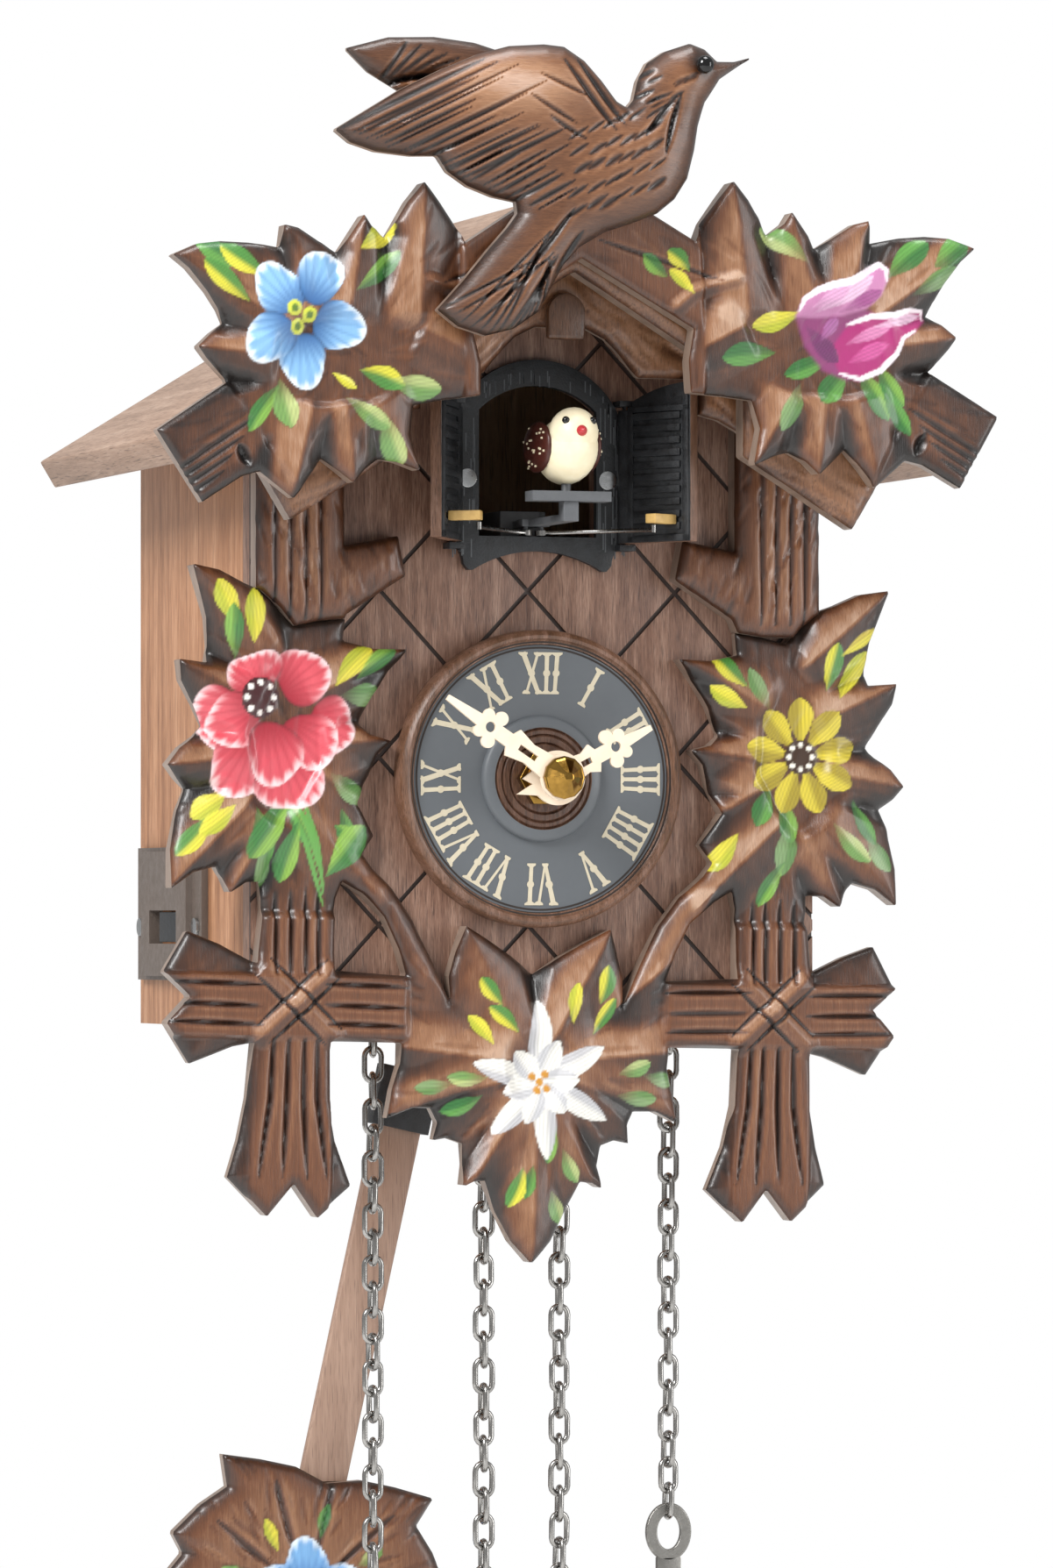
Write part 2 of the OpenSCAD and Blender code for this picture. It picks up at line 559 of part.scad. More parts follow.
module right_door() color("#33251d") on_door(1) shut_leaf();
module left_door() color("#33251d") on_door(-1) shut_leaf();
module link_block() box([-block_at - 1, hinge_r, block_z - 0.9],
  [-block_at + 1.6, block_reach + 0.6, block_z + 0.9]);
module right_link_block() color("#c9a86a") on_door(1) link_block();
module left_link_block() color("#c9a86a") on_door(-1) link_block();
// A wire from a pin of the carriage to a door, drawn for the right side
module link_wire_shape() at_dial() translate([wire_root_x, wire_root_y, wire_z])
  rotate([0, 0, wire_rest]) {
    translate([0, 0, -0.5]) tube(1.3, 0.6, 1);
    translate([0, -1, 0]) rotate([90, 0, 0]) cylinder(r = wire_d / 2, h = wire_len - 1);
    translate([0, -wire_len, -0.5]) cylinder(r = wire_d / 2 + 0.1, h = 1.4);
  }
module right_link_wire() color("#c9c9c6") link_wire_shape();
module left_link_wire() color("#c9c9c6") mirror([1, 0, 0]) link_wire_shape();

// ---- cuckoo and its drive ----
bird_z = perch_z + 9.5;
module cuckoo() color("#ead9b0") at_dial() translate([0, perch_y + 1.5, bird_z]) {
  rotate([90, 0, 0]) rotate_extrude() polygon([[0, -9], [3.4, -7.5], [5, -4], [5.3, 0], [4.8, 3.5],
    [3.2, 6.5], [0, 7.8]]);
  translate([0, -4.4, 2.2]) sphere(r = 4.1);
  translate([0, -8, 1.8]) rotate([90, 0, 0]) cylinder(r1 = 1.1, r2 = 0.2, h = 2);
  box([-2.2, 5, 0], [2.2, 16, 1]);
}
bird_foot = bird_z - 5.3;
module perch_bar() color("#8c8f93") at_dial() {
  box([-7.9, perch_y - 2, perch_z], [7.9, perch_y + 2.4, perch_z + 1.9]);
  translate([0, perch_y + 1.5, perch_z + 1]) cylinder(r = 0.9, h = bird_foot - perch_z - 1);
}
sled_front = inner_face + 4;
sled_len = carriage_travel + 6;
rack_x = 5;
module carriage() color("#707376") at_dial() {
  box([-1.5, perch_y - 1.5, arm_z], [1.5, perch_y + 1.5, perch_z]);
  box([-1.5, perch_y, arm_z], [1.5, sled_front + 1, arm_z + 1.4]);
  box([-2.8, wire_root_y - 1.6, arm_z], [2.8, wire_root_y + 1.6, arm_z + 1.4]);
  for (s = [-1, 1]) translate([s * wire_root_x, wire_root_y, wire_z - 0.6])
    cylinder(r = 0.5, h = arm_z + 0.7 - wire_z + 0.6);
  difference() {
    box([-4, sled_front, rail_top - 2.2], [4, sled_front + sled_len, arm_z + 3.4]);
    box([-1.6, sled_front - 1, rail_top - 3], [1.6, sled_front + sled_len + 1, rail_top + 0.15]);
  }
  for (k = [0 : floor(sled_len / tooth) - 1])
    translate([4, sled_front + (k + 0.5) * tooth, arm_z + 1.2])
      linear_extrude(2.2) polygon([[-0.2, -0.55], [1.5, -0.3], [1.5, 0.3], [-0.2, 0.55]]);
}
rail_y = -12;
module carriage_rail() color("#55585b") at_dial() {
  box([-6, inner_face, rail_top - 5], [6, rail_y, rail_top - 2.6]);
  box([-1.2, inner_face, rail_top - 3], [1.2, rail_y, rail_top]);
  box([5, pinion_y - 6, rail_top - 5], [pinion_x - 3, pinion_y + 6, rail_top - 2.6]);
}
pinion_x = rack_x + pinion_r;
pinion_y = sled_front + (floor(sled_len / tooth) - 1.5) * tooth;
module drive_pinion() color("#e6e2d6") at_dial() translate([pinion_x, pinion_y, arm_z + 0.8]) {
  difference() {
    union() {
      cylinder(r = pinion_r - 1.1, h = 3);
      for (k = [0 : pinion_n - 1]) rotate((k + 0.5) * 360 / pinion_n)
        linear_extrude(3) polygon([[pinion_r - 1.4, -0.65], [pinion_r + 0.5, -0.25],
          [pinion_r + 0.5, 0.25], [pinion_r - 1.4, 0.65]]);
    }
    translate([0, 0, -1]) cylinder(r = 1, h = 5);
  }
}
module cuckoo_motor() color("#9a9da1") at_dial() {
  box([pinion_x - 3, pinion_y - 6, arm_z - 14], [pinion_x + 18, pinion_y + 6, arm_z]);
  translate([pinion_x, pinion_y, arm_z - 1]) cylinder(r = 1 - shaft_gap, h = 4.6);
}

// ---- electrics ----
module sound_board() color("#2f6b3c") at_dial()
  box([-46, -40, -case_drop + floor_t], [-44.4, -14, 6]);
module loudspeaker() color("#222426") at_dial() translate([speaker_x, -back_t, speaker_z])
  rotate([90, 0, 0]) {
    cylinder(r = 15, h = 2);
    translate([0, 0, 2]) cylinder(r1 = 13, r2 = 7, h = 5);
    translate([0, 0, 7]) cylinder(r = 7, h = 4);
  }
cell_d = 14.4;
cell_low = 0.2;                          // middle of the lowest cell
cell_step = 15.2;
module battery_holder() color("#1f2022") at_dial() difference() {
  box([-26.5, -17.5, cell_low - 8.2], [26.5, -0.5, cell_low + 38.8]);
  for (k = [0 : 2]) translate([0, -8.6, cell_low + k * cell_step]) {
    rotate([0, 90, 0]) cylinder(r = cell_d / 2 + 0.3, h = 51, center = true);
    box([-25.5, 0, -cell_d / 2 - 0.3], [25.5, 12, cell_d / 2 + 0.3]);
  }
}
module cells() color("#b5382a") at_dial() for (k = [0 : 2])
  translate([-25.2, -8.6, cell_low + k * cell_step]) rotate([0, 90, 0]) {
    cylinder(r = cell_d / 2, h = 49.2);
    translate([0, 0, 49.2]) cylinder(r = 2.7, h = 1.1);
  }

// ---- night switch ----
module switch_plate() color("#8a7f76") at_dial() difference() {
  union() {
    box([-half - 1.4, plate_back - plate_len, plate_top - plate_h],
      [-half, plate_back, plate_top]);
    box([-half - plate_t, plate_back - plate_len + 6, plate_top - plate_h + 0.8],
      [-half, plate_back - 7, plate_top - 0.8]);
  }
  box([-half - 5, plate_mid - slot_len / 2, slot_z - slot_h / 2],
    [-half + 1, plate_mid + slot_len / 2, slot_z + slot_h / 2]);
  for (s = [-1, 1]) translate([-half - 5, plate_mid + s * (plate_len / 2 - 3), slot_z])
    rotate([0, 90, 0]) cylinder(r = 0.9, h = 8);
}
slider_mid = plate_mid - slider_travel / 2;
module switch_slider() color("#161616") at_dial()
  box([-half - plate_t + 0.2, slider_mid - slider_len / 2, slot_z - slot_h / 2 + 0.3],
    [-room - 1.5, slider_mid + slider_len / 2, slot_z + slot_h / 2 - 0.3]);

// ---- chains and weights ----
module chain_bar() color("#9a9a98") at_dial() {
  translate([-strand_out - 5, chain_y, bar_z]) rotate([0, 90, 0])
    cylinder(r = bar_r, h = 2 * strand_out + 10);
  for (s = [-1, 1]) box([s * (strand_out + 4) - 1.5, inner_face, bar_z - 2],
    [s * (strand_out + 4) + 1.5, chain_y + 2, bar_z + 2]);
}
module link() rotate([90, 0, 0]) linear_extrude(link_wire, center = true) difference() {
  union() {
    for (s = [-1, 1]) translate([0, s * (link_out - link_w / 2)]) circle(d = link_w, $fn = 24);
    square([link_w, 2 * link_out - link_w], center = true);
  }
  for (s = [-1, 1]) translate([0, s * (link_out - link_w / 2)])
    circle(d = link_w - 2 * link_wire, $fn = 24);
  square([link_w - 2 * link_wire, 2 * link_out - link_w], center = true);
}
module strand(x, links) at_dial() for (k = [0 : links - 1])
  translate([x, chain_y, first_link - k * link_pitch]) rotate([0, 0, k % 2 == 0 ? 90 : 0]) link();
module left_chain() color("#a8a8a4") {
  strand(-strand_out, left_links);
  strand(-strand_in, ring_links);
}
module right_chain() color("#a8a8a4") {
  strand(strand_in, ring_links);
  strand(strand_out, right_links);
}
function strand_foot(links) = first_link - (links - 1) * link_pitch - link_in;
// A flat oval eye, standing under the last link of a strand, top at z = 0
eye_w = 9.6;
eye_h = 11.6;
eye_bar = 2.3;
module oval(w, h) {
  for (s = [-1, 1]) translate([0, s * (h - w) / 2]) circle(d = w);
  square([w, h - w], center = true);
}
eye_top = 0.15 + eye_bar;
module eye() translate([0, 0.6, eye_top - eye_h / 2]) rotate([90, 0, 0])
  linear_extrude(1.2) difference() {
    oval(eye_w, eye_h);
    oval(eye_w - 2 * eye_bar, eye_h - 2 * eye_bar);
  }
module pull_ring(x) at_dial() translate([x, chain_y, strand_foot(ring_links)]) eye();
module pull_ring_left() color("#8f8f8d") pull_ring(-strand_in);
module pull_ring_right() color("#8f8f8d") pull_ring(strand_in);
neck = 5;
// A cast cone that hangs from a flat eye
module cone_weight(x, links) at_dial() translate([x, chain_y, strand_foot(links)]) {
  eye();
  translate([0, 0, eye_top - eye_h]) {
    box([-neck / 2, -0.6, -3.5], [neck / 2, 0.6, 1]);
    translate([0, 0, -2.5 - cone_len]) rotate_extrude() polygon([[0, 0], [cone_d * 0.14, 0.5],
      [cone_d * 0.34, cone_len * 0.12], [cone_d * 0.47, cone_len * 0.32],
      [cone_d / 2, cone_len * 0.5], [cone_d * 0.46, cone_len * 0.7],
      [cone_d * 0.36, cone_len * 0.87], [cone_d * 0.2, cone_len * 0.97], [0, cone_len]]);
  }
}
module left_weight() color("#5a3a26") cone_weight(-strand_out, left_links);
module right_weight() color("#5a3a26") cone_weight(strand_out, right_links);

back_board();
left_side();
right_side();
floor_board();
front_board();
roof_left();
roof_right();
bargeboards();
gable_valance();
valance_drop();
hanger_plate();
small_screws();
corner_posts();
crown_carving();
bird_carving();
bird_far_wing();
bird_eye();
lower_carving();
dial_ring();
dial_disc();
dial_boss();
minute_hand();
hour_hand();
hand_nut();
minute_shaft();
hour_tube();
movement_case();
clamp_nut();
set_knob();
pendulum_bracket();
pendulum_leader();
pendulum_clip();
pendulum_rod();
pendulum_bob();
door_frame();
left_door();
right_door();
left_link_block();
right_link_block();
left_link_wire();
right_link_wire();
cuckoo();
perch_bar();
carriage();
carriage_rail();
drive_pinion();
cuckoo_motor();
sound_board();
loudspeaker();
battery_holder();
cells();
switch_plate();
switch_slider();
chain_bar();
left_chain();
right_chain();
pull_ring_left();
pull_ring_right();
left_weight();
right_weight();
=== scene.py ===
"""Looks for a carved cuckoo clock: painted leaf carvings, dial, bird door, pendulum, chains and cones.

Lengths are in millimetres from the middle of the dial (x right, y away from the viewer, z up)
until place() turns them into metres in the clock's own frame. Side is -1 on the left, 1 on the right.
"""
import math
import random

import bmesh
import bpy
import numpy as np
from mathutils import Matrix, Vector


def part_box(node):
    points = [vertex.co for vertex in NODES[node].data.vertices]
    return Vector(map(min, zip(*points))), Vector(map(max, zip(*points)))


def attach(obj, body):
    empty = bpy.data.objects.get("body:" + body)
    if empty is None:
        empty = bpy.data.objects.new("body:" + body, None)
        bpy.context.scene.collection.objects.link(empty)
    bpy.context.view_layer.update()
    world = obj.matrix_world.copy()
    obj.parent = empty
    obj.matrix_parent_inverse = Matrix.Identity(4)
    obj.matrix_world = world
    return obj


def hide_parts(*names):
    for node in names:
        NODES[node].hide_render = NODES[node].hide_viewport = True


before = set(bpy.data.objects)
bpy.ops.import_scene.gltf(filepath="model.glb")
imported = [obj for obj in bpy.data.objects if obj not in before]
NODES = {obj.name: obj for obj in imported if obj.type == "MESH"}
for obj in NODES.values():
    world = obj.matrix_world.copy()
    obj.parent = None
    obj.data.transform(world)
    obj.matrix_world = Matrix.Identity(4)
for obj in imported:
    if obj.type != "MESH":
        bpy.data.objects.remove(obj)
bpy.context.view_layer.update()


def box_of(name):
    """A CAD node's lowest and highest corners in millimetres, in the clock's own frame."""
    return [[round(v * 1000, 2) for v in corner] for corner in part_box(name)]


RING_LOW, RING_HIGH = box_of("dial_ring")
DIAL_DROP = -(RING_LOW[2] + RING_HIGH[2]) / 2    # the dial's middle below the hanging hole
FACE = box_of("front_board")[0][1]               # front of the front board
RIM = RING_HIGH[0]                               # outer radius of the dial ring
CHAIN_Y = FACE + 8.0                             # plane that the chains hang in
STRANDS = (7.7, 30.1)                            # strands to each side of the middle, inner and outer
LINK_PITCH = 5.0
CROWN_TURN = math.radians(2.0)                   # the carvings were pinned on a little askew
LOWER_TURN = math.radians(1.3)
GRID = 0.38                                      # spacing of the points of a large carving


# ---------------------------------------------------------------- small tools
def linear(hex_colour):
    """An sRGB hex colour as linear RGBA."""
    c = [int(hex_colour[i:i + 2], 16) / 255 for i in (1, 3, 5)]
    return tuple(v / 12.92 if v <= 0.04045 else ((v + 0.055) / 1.055) ** 2.4 for v in c) + (1.0,)


def place(points):
    """Millimetres from the middle of the dial to metres in the clock's frame."""
    p = np.asarray(points, float).reshape(-1, 3).copy()
    p[:, 2] -= DIAL_DROP
    return p / 1000.0


def node(tree, kind, inputs=None, stops=None, **settings):
    """Adds one shader or geometry node with its settings, its values and its links."""
    n = tree.nodes.new(kind)
    for key, value in settings.items():
        setattr(n, key, value)
    for key, value in (inputs or {}).items():
        if isinstance(value, bpy.types.NodeSocket):
            tree.links.new(value, n.inputs[key])
        else:
            n.inputs[key].default_value = value
    if stops:
        ramp = n.color_ramp.elements
        while len(ramp) < len(stops):
            ramp.new(0.5)
        for element, (at, colour) in zip(ramp, stops):
            element.position = at
            element.color = colour
    return n


def new_material(name, **shader):
    """A material with one principled shader; shader holds the sockets that are one value all over."""
    mat = bpy.data.materials.new(name)
    mat.use_nodes = True
    tree = mat.node_tree
    tree.nodes.clear()
    values = {key.replace("_", " "): value for key, value in shader.items()}
    bsdf = node(tree, "ShaderNodeBsdfPrincipled", values)
    node(tree, "ShaderNodeOutputMaterial", {"Surface": bsdf.outputs[0]})
    return mat, tree, bsdf


def stretched_noise(tree, size, detail=4.0, rough=0.6, twist=0.0):
    """Noise whose features are size = (x, y, z) millimetres long on the object."""
    where = node(tree, "ShaderNodeTexCoord").outputs["Object"]
    scaled = node(tree, "ShaderNodeMapping", {"Vector": where,
                  "Scale": tuple(1000.0 / s for s in size)})
    return node(tree, "ShaderNodeTexNoise", {"Vector": scaled.outputs[0], "Scale": 1.0,
                "Detail": detail, "Roughness": rough, "Distortion": twist}).outputs[0]


def blend_colours(tree, how, factor, a, b):
    """Mixes or multiplies colour b into colour a by a factor."""
    n = node(tree, "ShaderNodeMix", {0: factor, 6: a, 7: b}, data_type="RGBA", blend_type=how)
    return n.outputs[2]


def sums(tree, how, a, b, clamp=False):
    """One step of arithmetic on two values."""
    return node(tree, "ShaderNodeMath", {0: a, 1: b}, operation=how, use_clamp=clamp).outputs[0]


# ---------------------------------------------------------------- finishes
LATTICE_DEEP = (0.05, 0.8)                       # depth of the lattice grooves behind the face
PORE_BROWN = "#4a3024"
GROOVE_BROWN = "#24140d"


def lattice_grooves(tree, colour):
    """Darkens the walls of the scored lattice by their depth behind the face."""
    near, far = [(FACE + deep) / 1000 for deep in LATTICE_DEEP]
    where = node(tree, "ShaderNodeTexCoord").outputs["Object"]
    depth = node(tree, "ShaderNodeSeparateXYZ", {0: where}).outputs["Y"]
    past = sums(tree, "GREATER_THAN", depth, near)
    before = sums(tree, "LESS_THAN", depth, far)
    cut = sums(tree, "MULTIPLY", past, before)
    return blend_colours(tree, "MIX", sums(tree, "MULTIPLY", cut, 0.92), colour, linear(GROOVE_BROWN))


def sawn_sides_and_paint(tree, colour, fine, wide):
    """Adds the pale sawn sides and the flower paint that a Carving holds; also gives its cover."""
    side = node(tree, "ShaderNodeAttribute", attribute_name="side").outputs["Fac"]
    raw = blend_colours(tree, "MIX", wide, linear("#5b4a40"), linear("#a08c7d"))
    colour = blend_colours(tree, "MIX", side, colour, raw)
    paint = node(tree, "ShaderNodeAttribute", attribute_name="paint")
    bristles = blend_colours(tree, "MIX", fine, linear("#d0d0cc"), linear("#ffffff"))
    brushed = blend_colours(tree, "MULTIPLY", 0.35, paint.outputs["Color"], bristles)
    cover = sums(tree, "MULTIPLY", paint.outputs["Alpha"], 1.0, True)
    return blend_colours(tree, "MIX", cover, colour, brushed), cover


def stained_wood(name, tones, grain, rough=0.45, streak=0.5, pores=0.55, carved=False,
                 scored=False):
    """Linden or beech with a brushed stain: long soft grain, short dark pores, a thin satin varnish.

    tones run from the darkest recess to the palest ridge, where stain is rubbed off and a highlight is
    painted; grain is the length of a streak in mm along x, y and z; a carved finish reads the tone
    (stain, painted highlight and painted shade), the sawn sides and the paint of a Carving."""
    mat, tree, bsdf = new_material(name, Roughness=rough, IOR=1.5, Coat_Weight=0.35 if carved else 0.1,
                                   Coat_Roughness=0.22)
    fine = stretched_noise(tree, [g * 0.35 for g in grain], 3.0, 0.7)
    wide = stretched_noise(tree, [g * 2.4 for g in grain], 3.0, 0.55, 0.6)
    pore = stretched_noise(tree, [g * 0.16 if g < 5 else g * 0.3 for g in grain], 1.0, 0.5)
    broad = sums(tree, "MULTIPLY", sums(tree, "SUBTRACT", wide, 0.5),
                 streak * (0.5 if carved else 1.0))
    thin = sums(tree, "MULTIPLY", sums(tree, "SUBTRACT", fine, 0.5), streak * 0.9)
    middle = 0.5
    if carved:
        middle = node(tree, "ShaderNodeAttribute", attribute_name="tone").outputs["Fac"]
    level = sums(tree, "ADD", sums(tree, "ADD", broad, thin), middle)
    ramp = node(tree, "ShaderNodeValToRGB", {"Fac": level},
                stops=[(i / (len(tones) - 1), linear(t)) for i, t in enumerate(tones)])
    dark_pore = node(tree, "ShaderNodeMapRange", {"Value": pore, "From Min": 0.30,
                     "From Max": 0.42, "To Min": pores, "To Max": 0.0}).outputs[0]
    colour = blend_colours(tree, "MULTIPLY", dark_pore, ramp.outputs["Color"], linear(PORE_BROWN))
    height = sums(tree, "ADD", fine, sums(tree, "MULTIPLY", dark_pore, -0.6))
    if scored:
        colour = lattice_grooves(tree, colour)
    if carved:
        colour, cover = sawn_sides_and_paint(tree, colour, fine, wide)
        bare = sums(tree, "SUBTRACT", 1.0, sums(tree, "MULTIPLY", cover, 0.7))
        height = sums(tree, "MULTIPLY", height, bare)
    tree.links.new(colour, bsdf.inputs["Base Color"])
    relief = node(tree, "ShaderNodeBump", {"Height": height, "Strength": 0.25, "Distance": 0.0004})
    tree.links.new(relief.outputs[0], bsdf.inputs["Normal"])
    return mat


def plain(name, shade, other, rough, size=3.0, metallic=0.0, bump=0.0, mottle=0.5,
          rough_spread=0.1):
    """Plastic, metal or paint: one colour that wanders a little to another, uneven gloss.

    size is the width in mm of a patch of the other colour; bump is grit a fifth as wide."""
    mat, tree, bsdf = new_material(name, Metallic=metallic)
    spots = stretched_noise(tree, (size, size, size), 5.0, 0.6)
    amount = node(tree, "ShaderNodeMapRange", {"Value": spots, "From Min": 0.35, "From Max": 0.7,
                  "To Min": 0.0, "To Max": mottle}).outputs[0]
    colour = blend_colours(tree, "MIX", amount, linear(shade), linear(other))
    tree.links.new(colour, bsdf.inputs["Base Color"])
    gloss = node(tree, "ShaderNodeMapRange", {"Value": spots, "From Min": 0.3, "From Max": 0.7,
                 "To Min": max(rough - rough_spread, 0.05), "To Max": rough + rough_spread})
    tree.links.new(gloss.outputs[0], bsdf.inputs["Roughness"])
    if bump:
        grit = stretched_noise(tree, (size * 0.2,) * 3, 3.0, 0.6)
        b = node(tree, "ShaderNodeBump", {"Height": grit, "Strength": bump, "Distance": 0.0002})
        tree.links.new(b.outputs[0], bsdf.inputs["Normal"])
    return mat


# Linden carved with gouges, dark stain rubbed off the ridges: near-black cuts, warm brown flanks, pale
# edges, and a satin varnish that shines along the folds; the pale ridges also carry a painted
# highlight, and the flanks are painted lighter or darker by how they face the painted light
carved_wood = stained_wood("stained and rubbed linden carving",
                           ["#0f0704", "#25130a", "#442513", "#683e24", "#8f6547", "#b5947c"],
                           (0.8, 2.0, 12.0), streak=0.34, pores=0.25, carved=True, rough=0.42)
# The same linden rubbed further back, its grain along the bird: a lighter, greyer brown
bird_wood = stained_wood("rubbed linden, carved bird",
                         ["#0f0704", "#2d170a", "#52301a", "#7a5033", "#a07759", "#bc9c88"],
                         (7.0, 2.0, 1.0), streak=0.26, pores=0.2, carved=True, rough=0.42)
# Beech ply, brushed brown stain: upright streaks with short dark pores, and the grooves coloured darker
front_wood = stained_wood("stained beech ply front board",
                          ["#3b251b", "#5f4032", "#7d5c4b", "#9c7c6a", "#b79a86"],
                          (0.9, 2.0, 11.0), streak=0.85, pores=0.6, scored=True)
# Sawn beech, thin red-brown stain: long pale and ruddy streaks and a dull satin face
side_wood = stained_wood("stained beech side board",
                         ["#59371f", "#855a3d", "#a57553", "#bd906f", "#d0aa8b"],
                         (1.0, 1.0, 24.0), streak=0.95, pores=0.5, rough=0.5)
# Planed beech, grey-brown stain, grain from the wall to the front: fine dull lines down the slope
roof_wood = stained_wood("stained beech roof board",
                         ["#4b382f", "#78604f", "#957a68", "#ab9280", "#bba595"],
                         (1.4, 16.0, 1.4), streak=0.6, pores=0.5, rough=0.55)
# Linden boards in shade under the roof: the carving's stain without its rubbed ridges
board_wood = stained_wood("stained linden gable board",
                          ["#2a170e", "#54331f", "#7a5236", "#94694a", "#a98263"],
                          (1.1, 2.0, 8.0), streak=0.6, pores=0.45, carved=True)
# Raw birch ply: pale and matt with wide soft figure
back_wood = stained_wood("raw ply back board",
                         ["#7a5b43", "#a3805f", "#bb9a78", "#cdb08f"],
                         (2.0, 2.0, 18.0), streak=0.7, pores=0.4, rough=0.7)
# Beech turned on a lathe and stained: open pores all round and a smoother sheen
ring_wood = stained_wood("turned beech dial ring",
                         ["#24150e", "#49301f", "#6b4b38", "#886858", "#9c8072"],
                         (0.9, 2.0, 8.0), streak=0.8, pores=0.6, rough=0.4)
# The same turning, stained darker: almost black in its grooves
boss_wood = stained_wood("dark turned beech boss", ["#140b07", "#3b2417", "#65493a", "#876c5c"],
                         (0.8, 2.0, 7.0), streak=0.9, pores=0.6, rough=0.35)
# Planed beech lath with a thin stain: pale, with quiet long grain
rod_wood = stained_wood("beech pendulum rod",
                        ["#5a4234", "#8a6d5c", "#a88b79", "#b99f8e"],
                        (1.2, 1.2, 18.0), streak=0.5, pores=0.4, rough=0.5)
# Turned beech dipped in stain: dark brown with a soft gloss
peg_wood = stained_wood("stained turned peg", ["#1a0f09", "#3d2618", "#5d3f2c", "#7d5a43"],
                        (1.0, 2.0, 6.0), streak=0.6, pores=0.4, rough=0.35)
# Injection-moulded polystyrene, brushed in its mould: charcoal with a dull, scratchy sheen
black_plastic = plain("moulded black polystyrene with a brushed texture", "#17181a", "#34373b", 0.5,
                      2.0, bump=0.5)
# The same moulding where brushing has rubbed it grey
edge_plastic = plain("rubbed grey edge of the moulding", "#55585b", "#3a3c3f", 0.5, 1.0)
# Smooth moulded polystyrene: warm ivory, clean and slightly glossy
cream_plastic = plain("moulded ivory polystyrene hands", "#efdec8", "#e2cdb0", 0.35, 4.0, bump=0.1)
# Smooth moulded polystyrene, yellower: a toy-like gloss
bird_plastic = plain("moulded cream polystyrene bird", "#f1e6c8", "#e4d3a8", 0.35, 3.0)
# Enamel brushed over plastic: red-brown, uneven where the brush lifted
wing_plastic = plain("brown painted plastic wing", "#4a2018", "#2d120d", 0.4, 1.2, bump=0.2)
# Enamel dipped over plastic: bright red and glossy
red_paint = plain("red enamel beak", "#b8343a", "#8f2027", 0.3, 1.0)
# Moulded acetal: mid grey, waxy
grey_plastic = plain("grey moulded carriage plastic", "#5f6164", "#4b4d50", 0.45, 3.0, bump=0.15)
# Spark-eroded moulded ABS: grey-brown with a fine grit
plate_plastic = plain("grey-brown moulded switch plate", "#5f544d", "#51473f", 0.45, 2.0, bump=0.35)
# Moulded ochre polystyrene with a printed brown flow mark
ochre_plastic = plain("ochre moulded link block", "#cfab68", "#a27c3f", 0.45, 1.5, bump=0.2)
# Screen-printed card: an even, matt slate grey
dial_grey = plain("grey printed dial card", "#5b5f63", "#53575b", 0.5, 9.0, bump=0.05)
# Printed ink: brown-black, flat
ring_line = plain("black printed ring line", "#231914", "#33261e", 0.5, 2.0)
# Screen-printed ink: dull cream, a little worn
numeral_ink = plain("cream screen-printed numeral", "#c9bfa8", "#b9ae94", 0.5, 1.5)
# Nickel on drawn steel wire: grey, bright along the bends and dull between them
chain_steel = plain("nickel-plated steel chain wire", "#a6a4a1", "#6e6c69", 0.22, 1.0, 1.0)
# Zinc on a rough casting: blotchy mid grey
cast_steel = plain("zinc-plated cast eye", "#8f8d89", "#6c6a66", 0.36, 1.0, 1.0, bump=0.3)
# Zinc on a pressed screw: light grey, soft shine
screw_steel = plain("zinc-plated screw", "#b9bbbc", "#8b8d8e", 0.3, 1.0, 1.0)
# Turned and polished brass: sharp gold reflections with brown tarnish
brass = plain("polished turned brass", "#a07c3c", "#5e4419", 0.12, 1.5, 1.0, rough_spread=0.05)
# Cast zinc sprayed with bronze-brown enamel: chocolate with a faint metal glint
cone_paint = plain("bronze-brown enamel on a cast cone", "#4c2f1f", "#6b4631", 0.42, 2.0, 0.3,
                   bump=0.4)
# Solder-masked glass laminate: glossy green
board_green = plain("green circuit board laminate", "#2a6a3c", "#1f5530", 0.35, 3.0)
# Shrunk printed sleeve: smooth red
cell_wrap = plain("printed cell sleeve", "#a3342a", "#7c241d", 0.3, 8.0)
# Moulded basket, left as it came out of the mould: matt black
speaker_black = plain("matt black moulded plastic, inside", "#0b0b0c", "#17181a", 0.7, 3.0)
# Fired glass: deep black with a hard highlight
glass_bead = plain("black glass bead eye", "#050505", "#0c0c0e", 0.08, 2.0, rough_spread=0.02)
# Unglazed paper: pale and even
paper = plain("matt pale paper floor", "#f4f4f3", "#efefee", 0.8, 200.0, mottle=0.2)


# ---------------------------------------------------------------- pieces
def settle(obj, body, mats, replaced=(), smooth=True):
    """Gives a finished mesh its finish, its body and the CAD nodes it stands for."""
    mesh = obj.data
    mesh.materials.clear()
    for mat in (mats if isinstance(mats, (list, tuple)) else [mats]):
        mesh.materials.append(mat)
    mesh.polygons.foreach_set("use_smooth", [smooth] * len(mesh.polygons))
    if obj.name not in bpy.context.scene.collection.objects:
        bpy.context.scene.collection.objects.link(obj)
    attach(obj, body)
    if replaced:
        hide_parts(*replaced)
    return obj


def face_outwards(mesh, weld=0.0):
    """Turns every face outwards, once points closer than weld millimetres are made one."""
    bm = bmesh.new()
    bm.from_mesh(mesh)
    if weld:
        bmesh.ops.remove_doubles(bm, verts=bm.verts, dist=weld / 1000.0)
    bmesh.ops.recalc_face_normals(bm, faces=bm.faces)
    bm.to_mesh(mesh)
    bm.free()


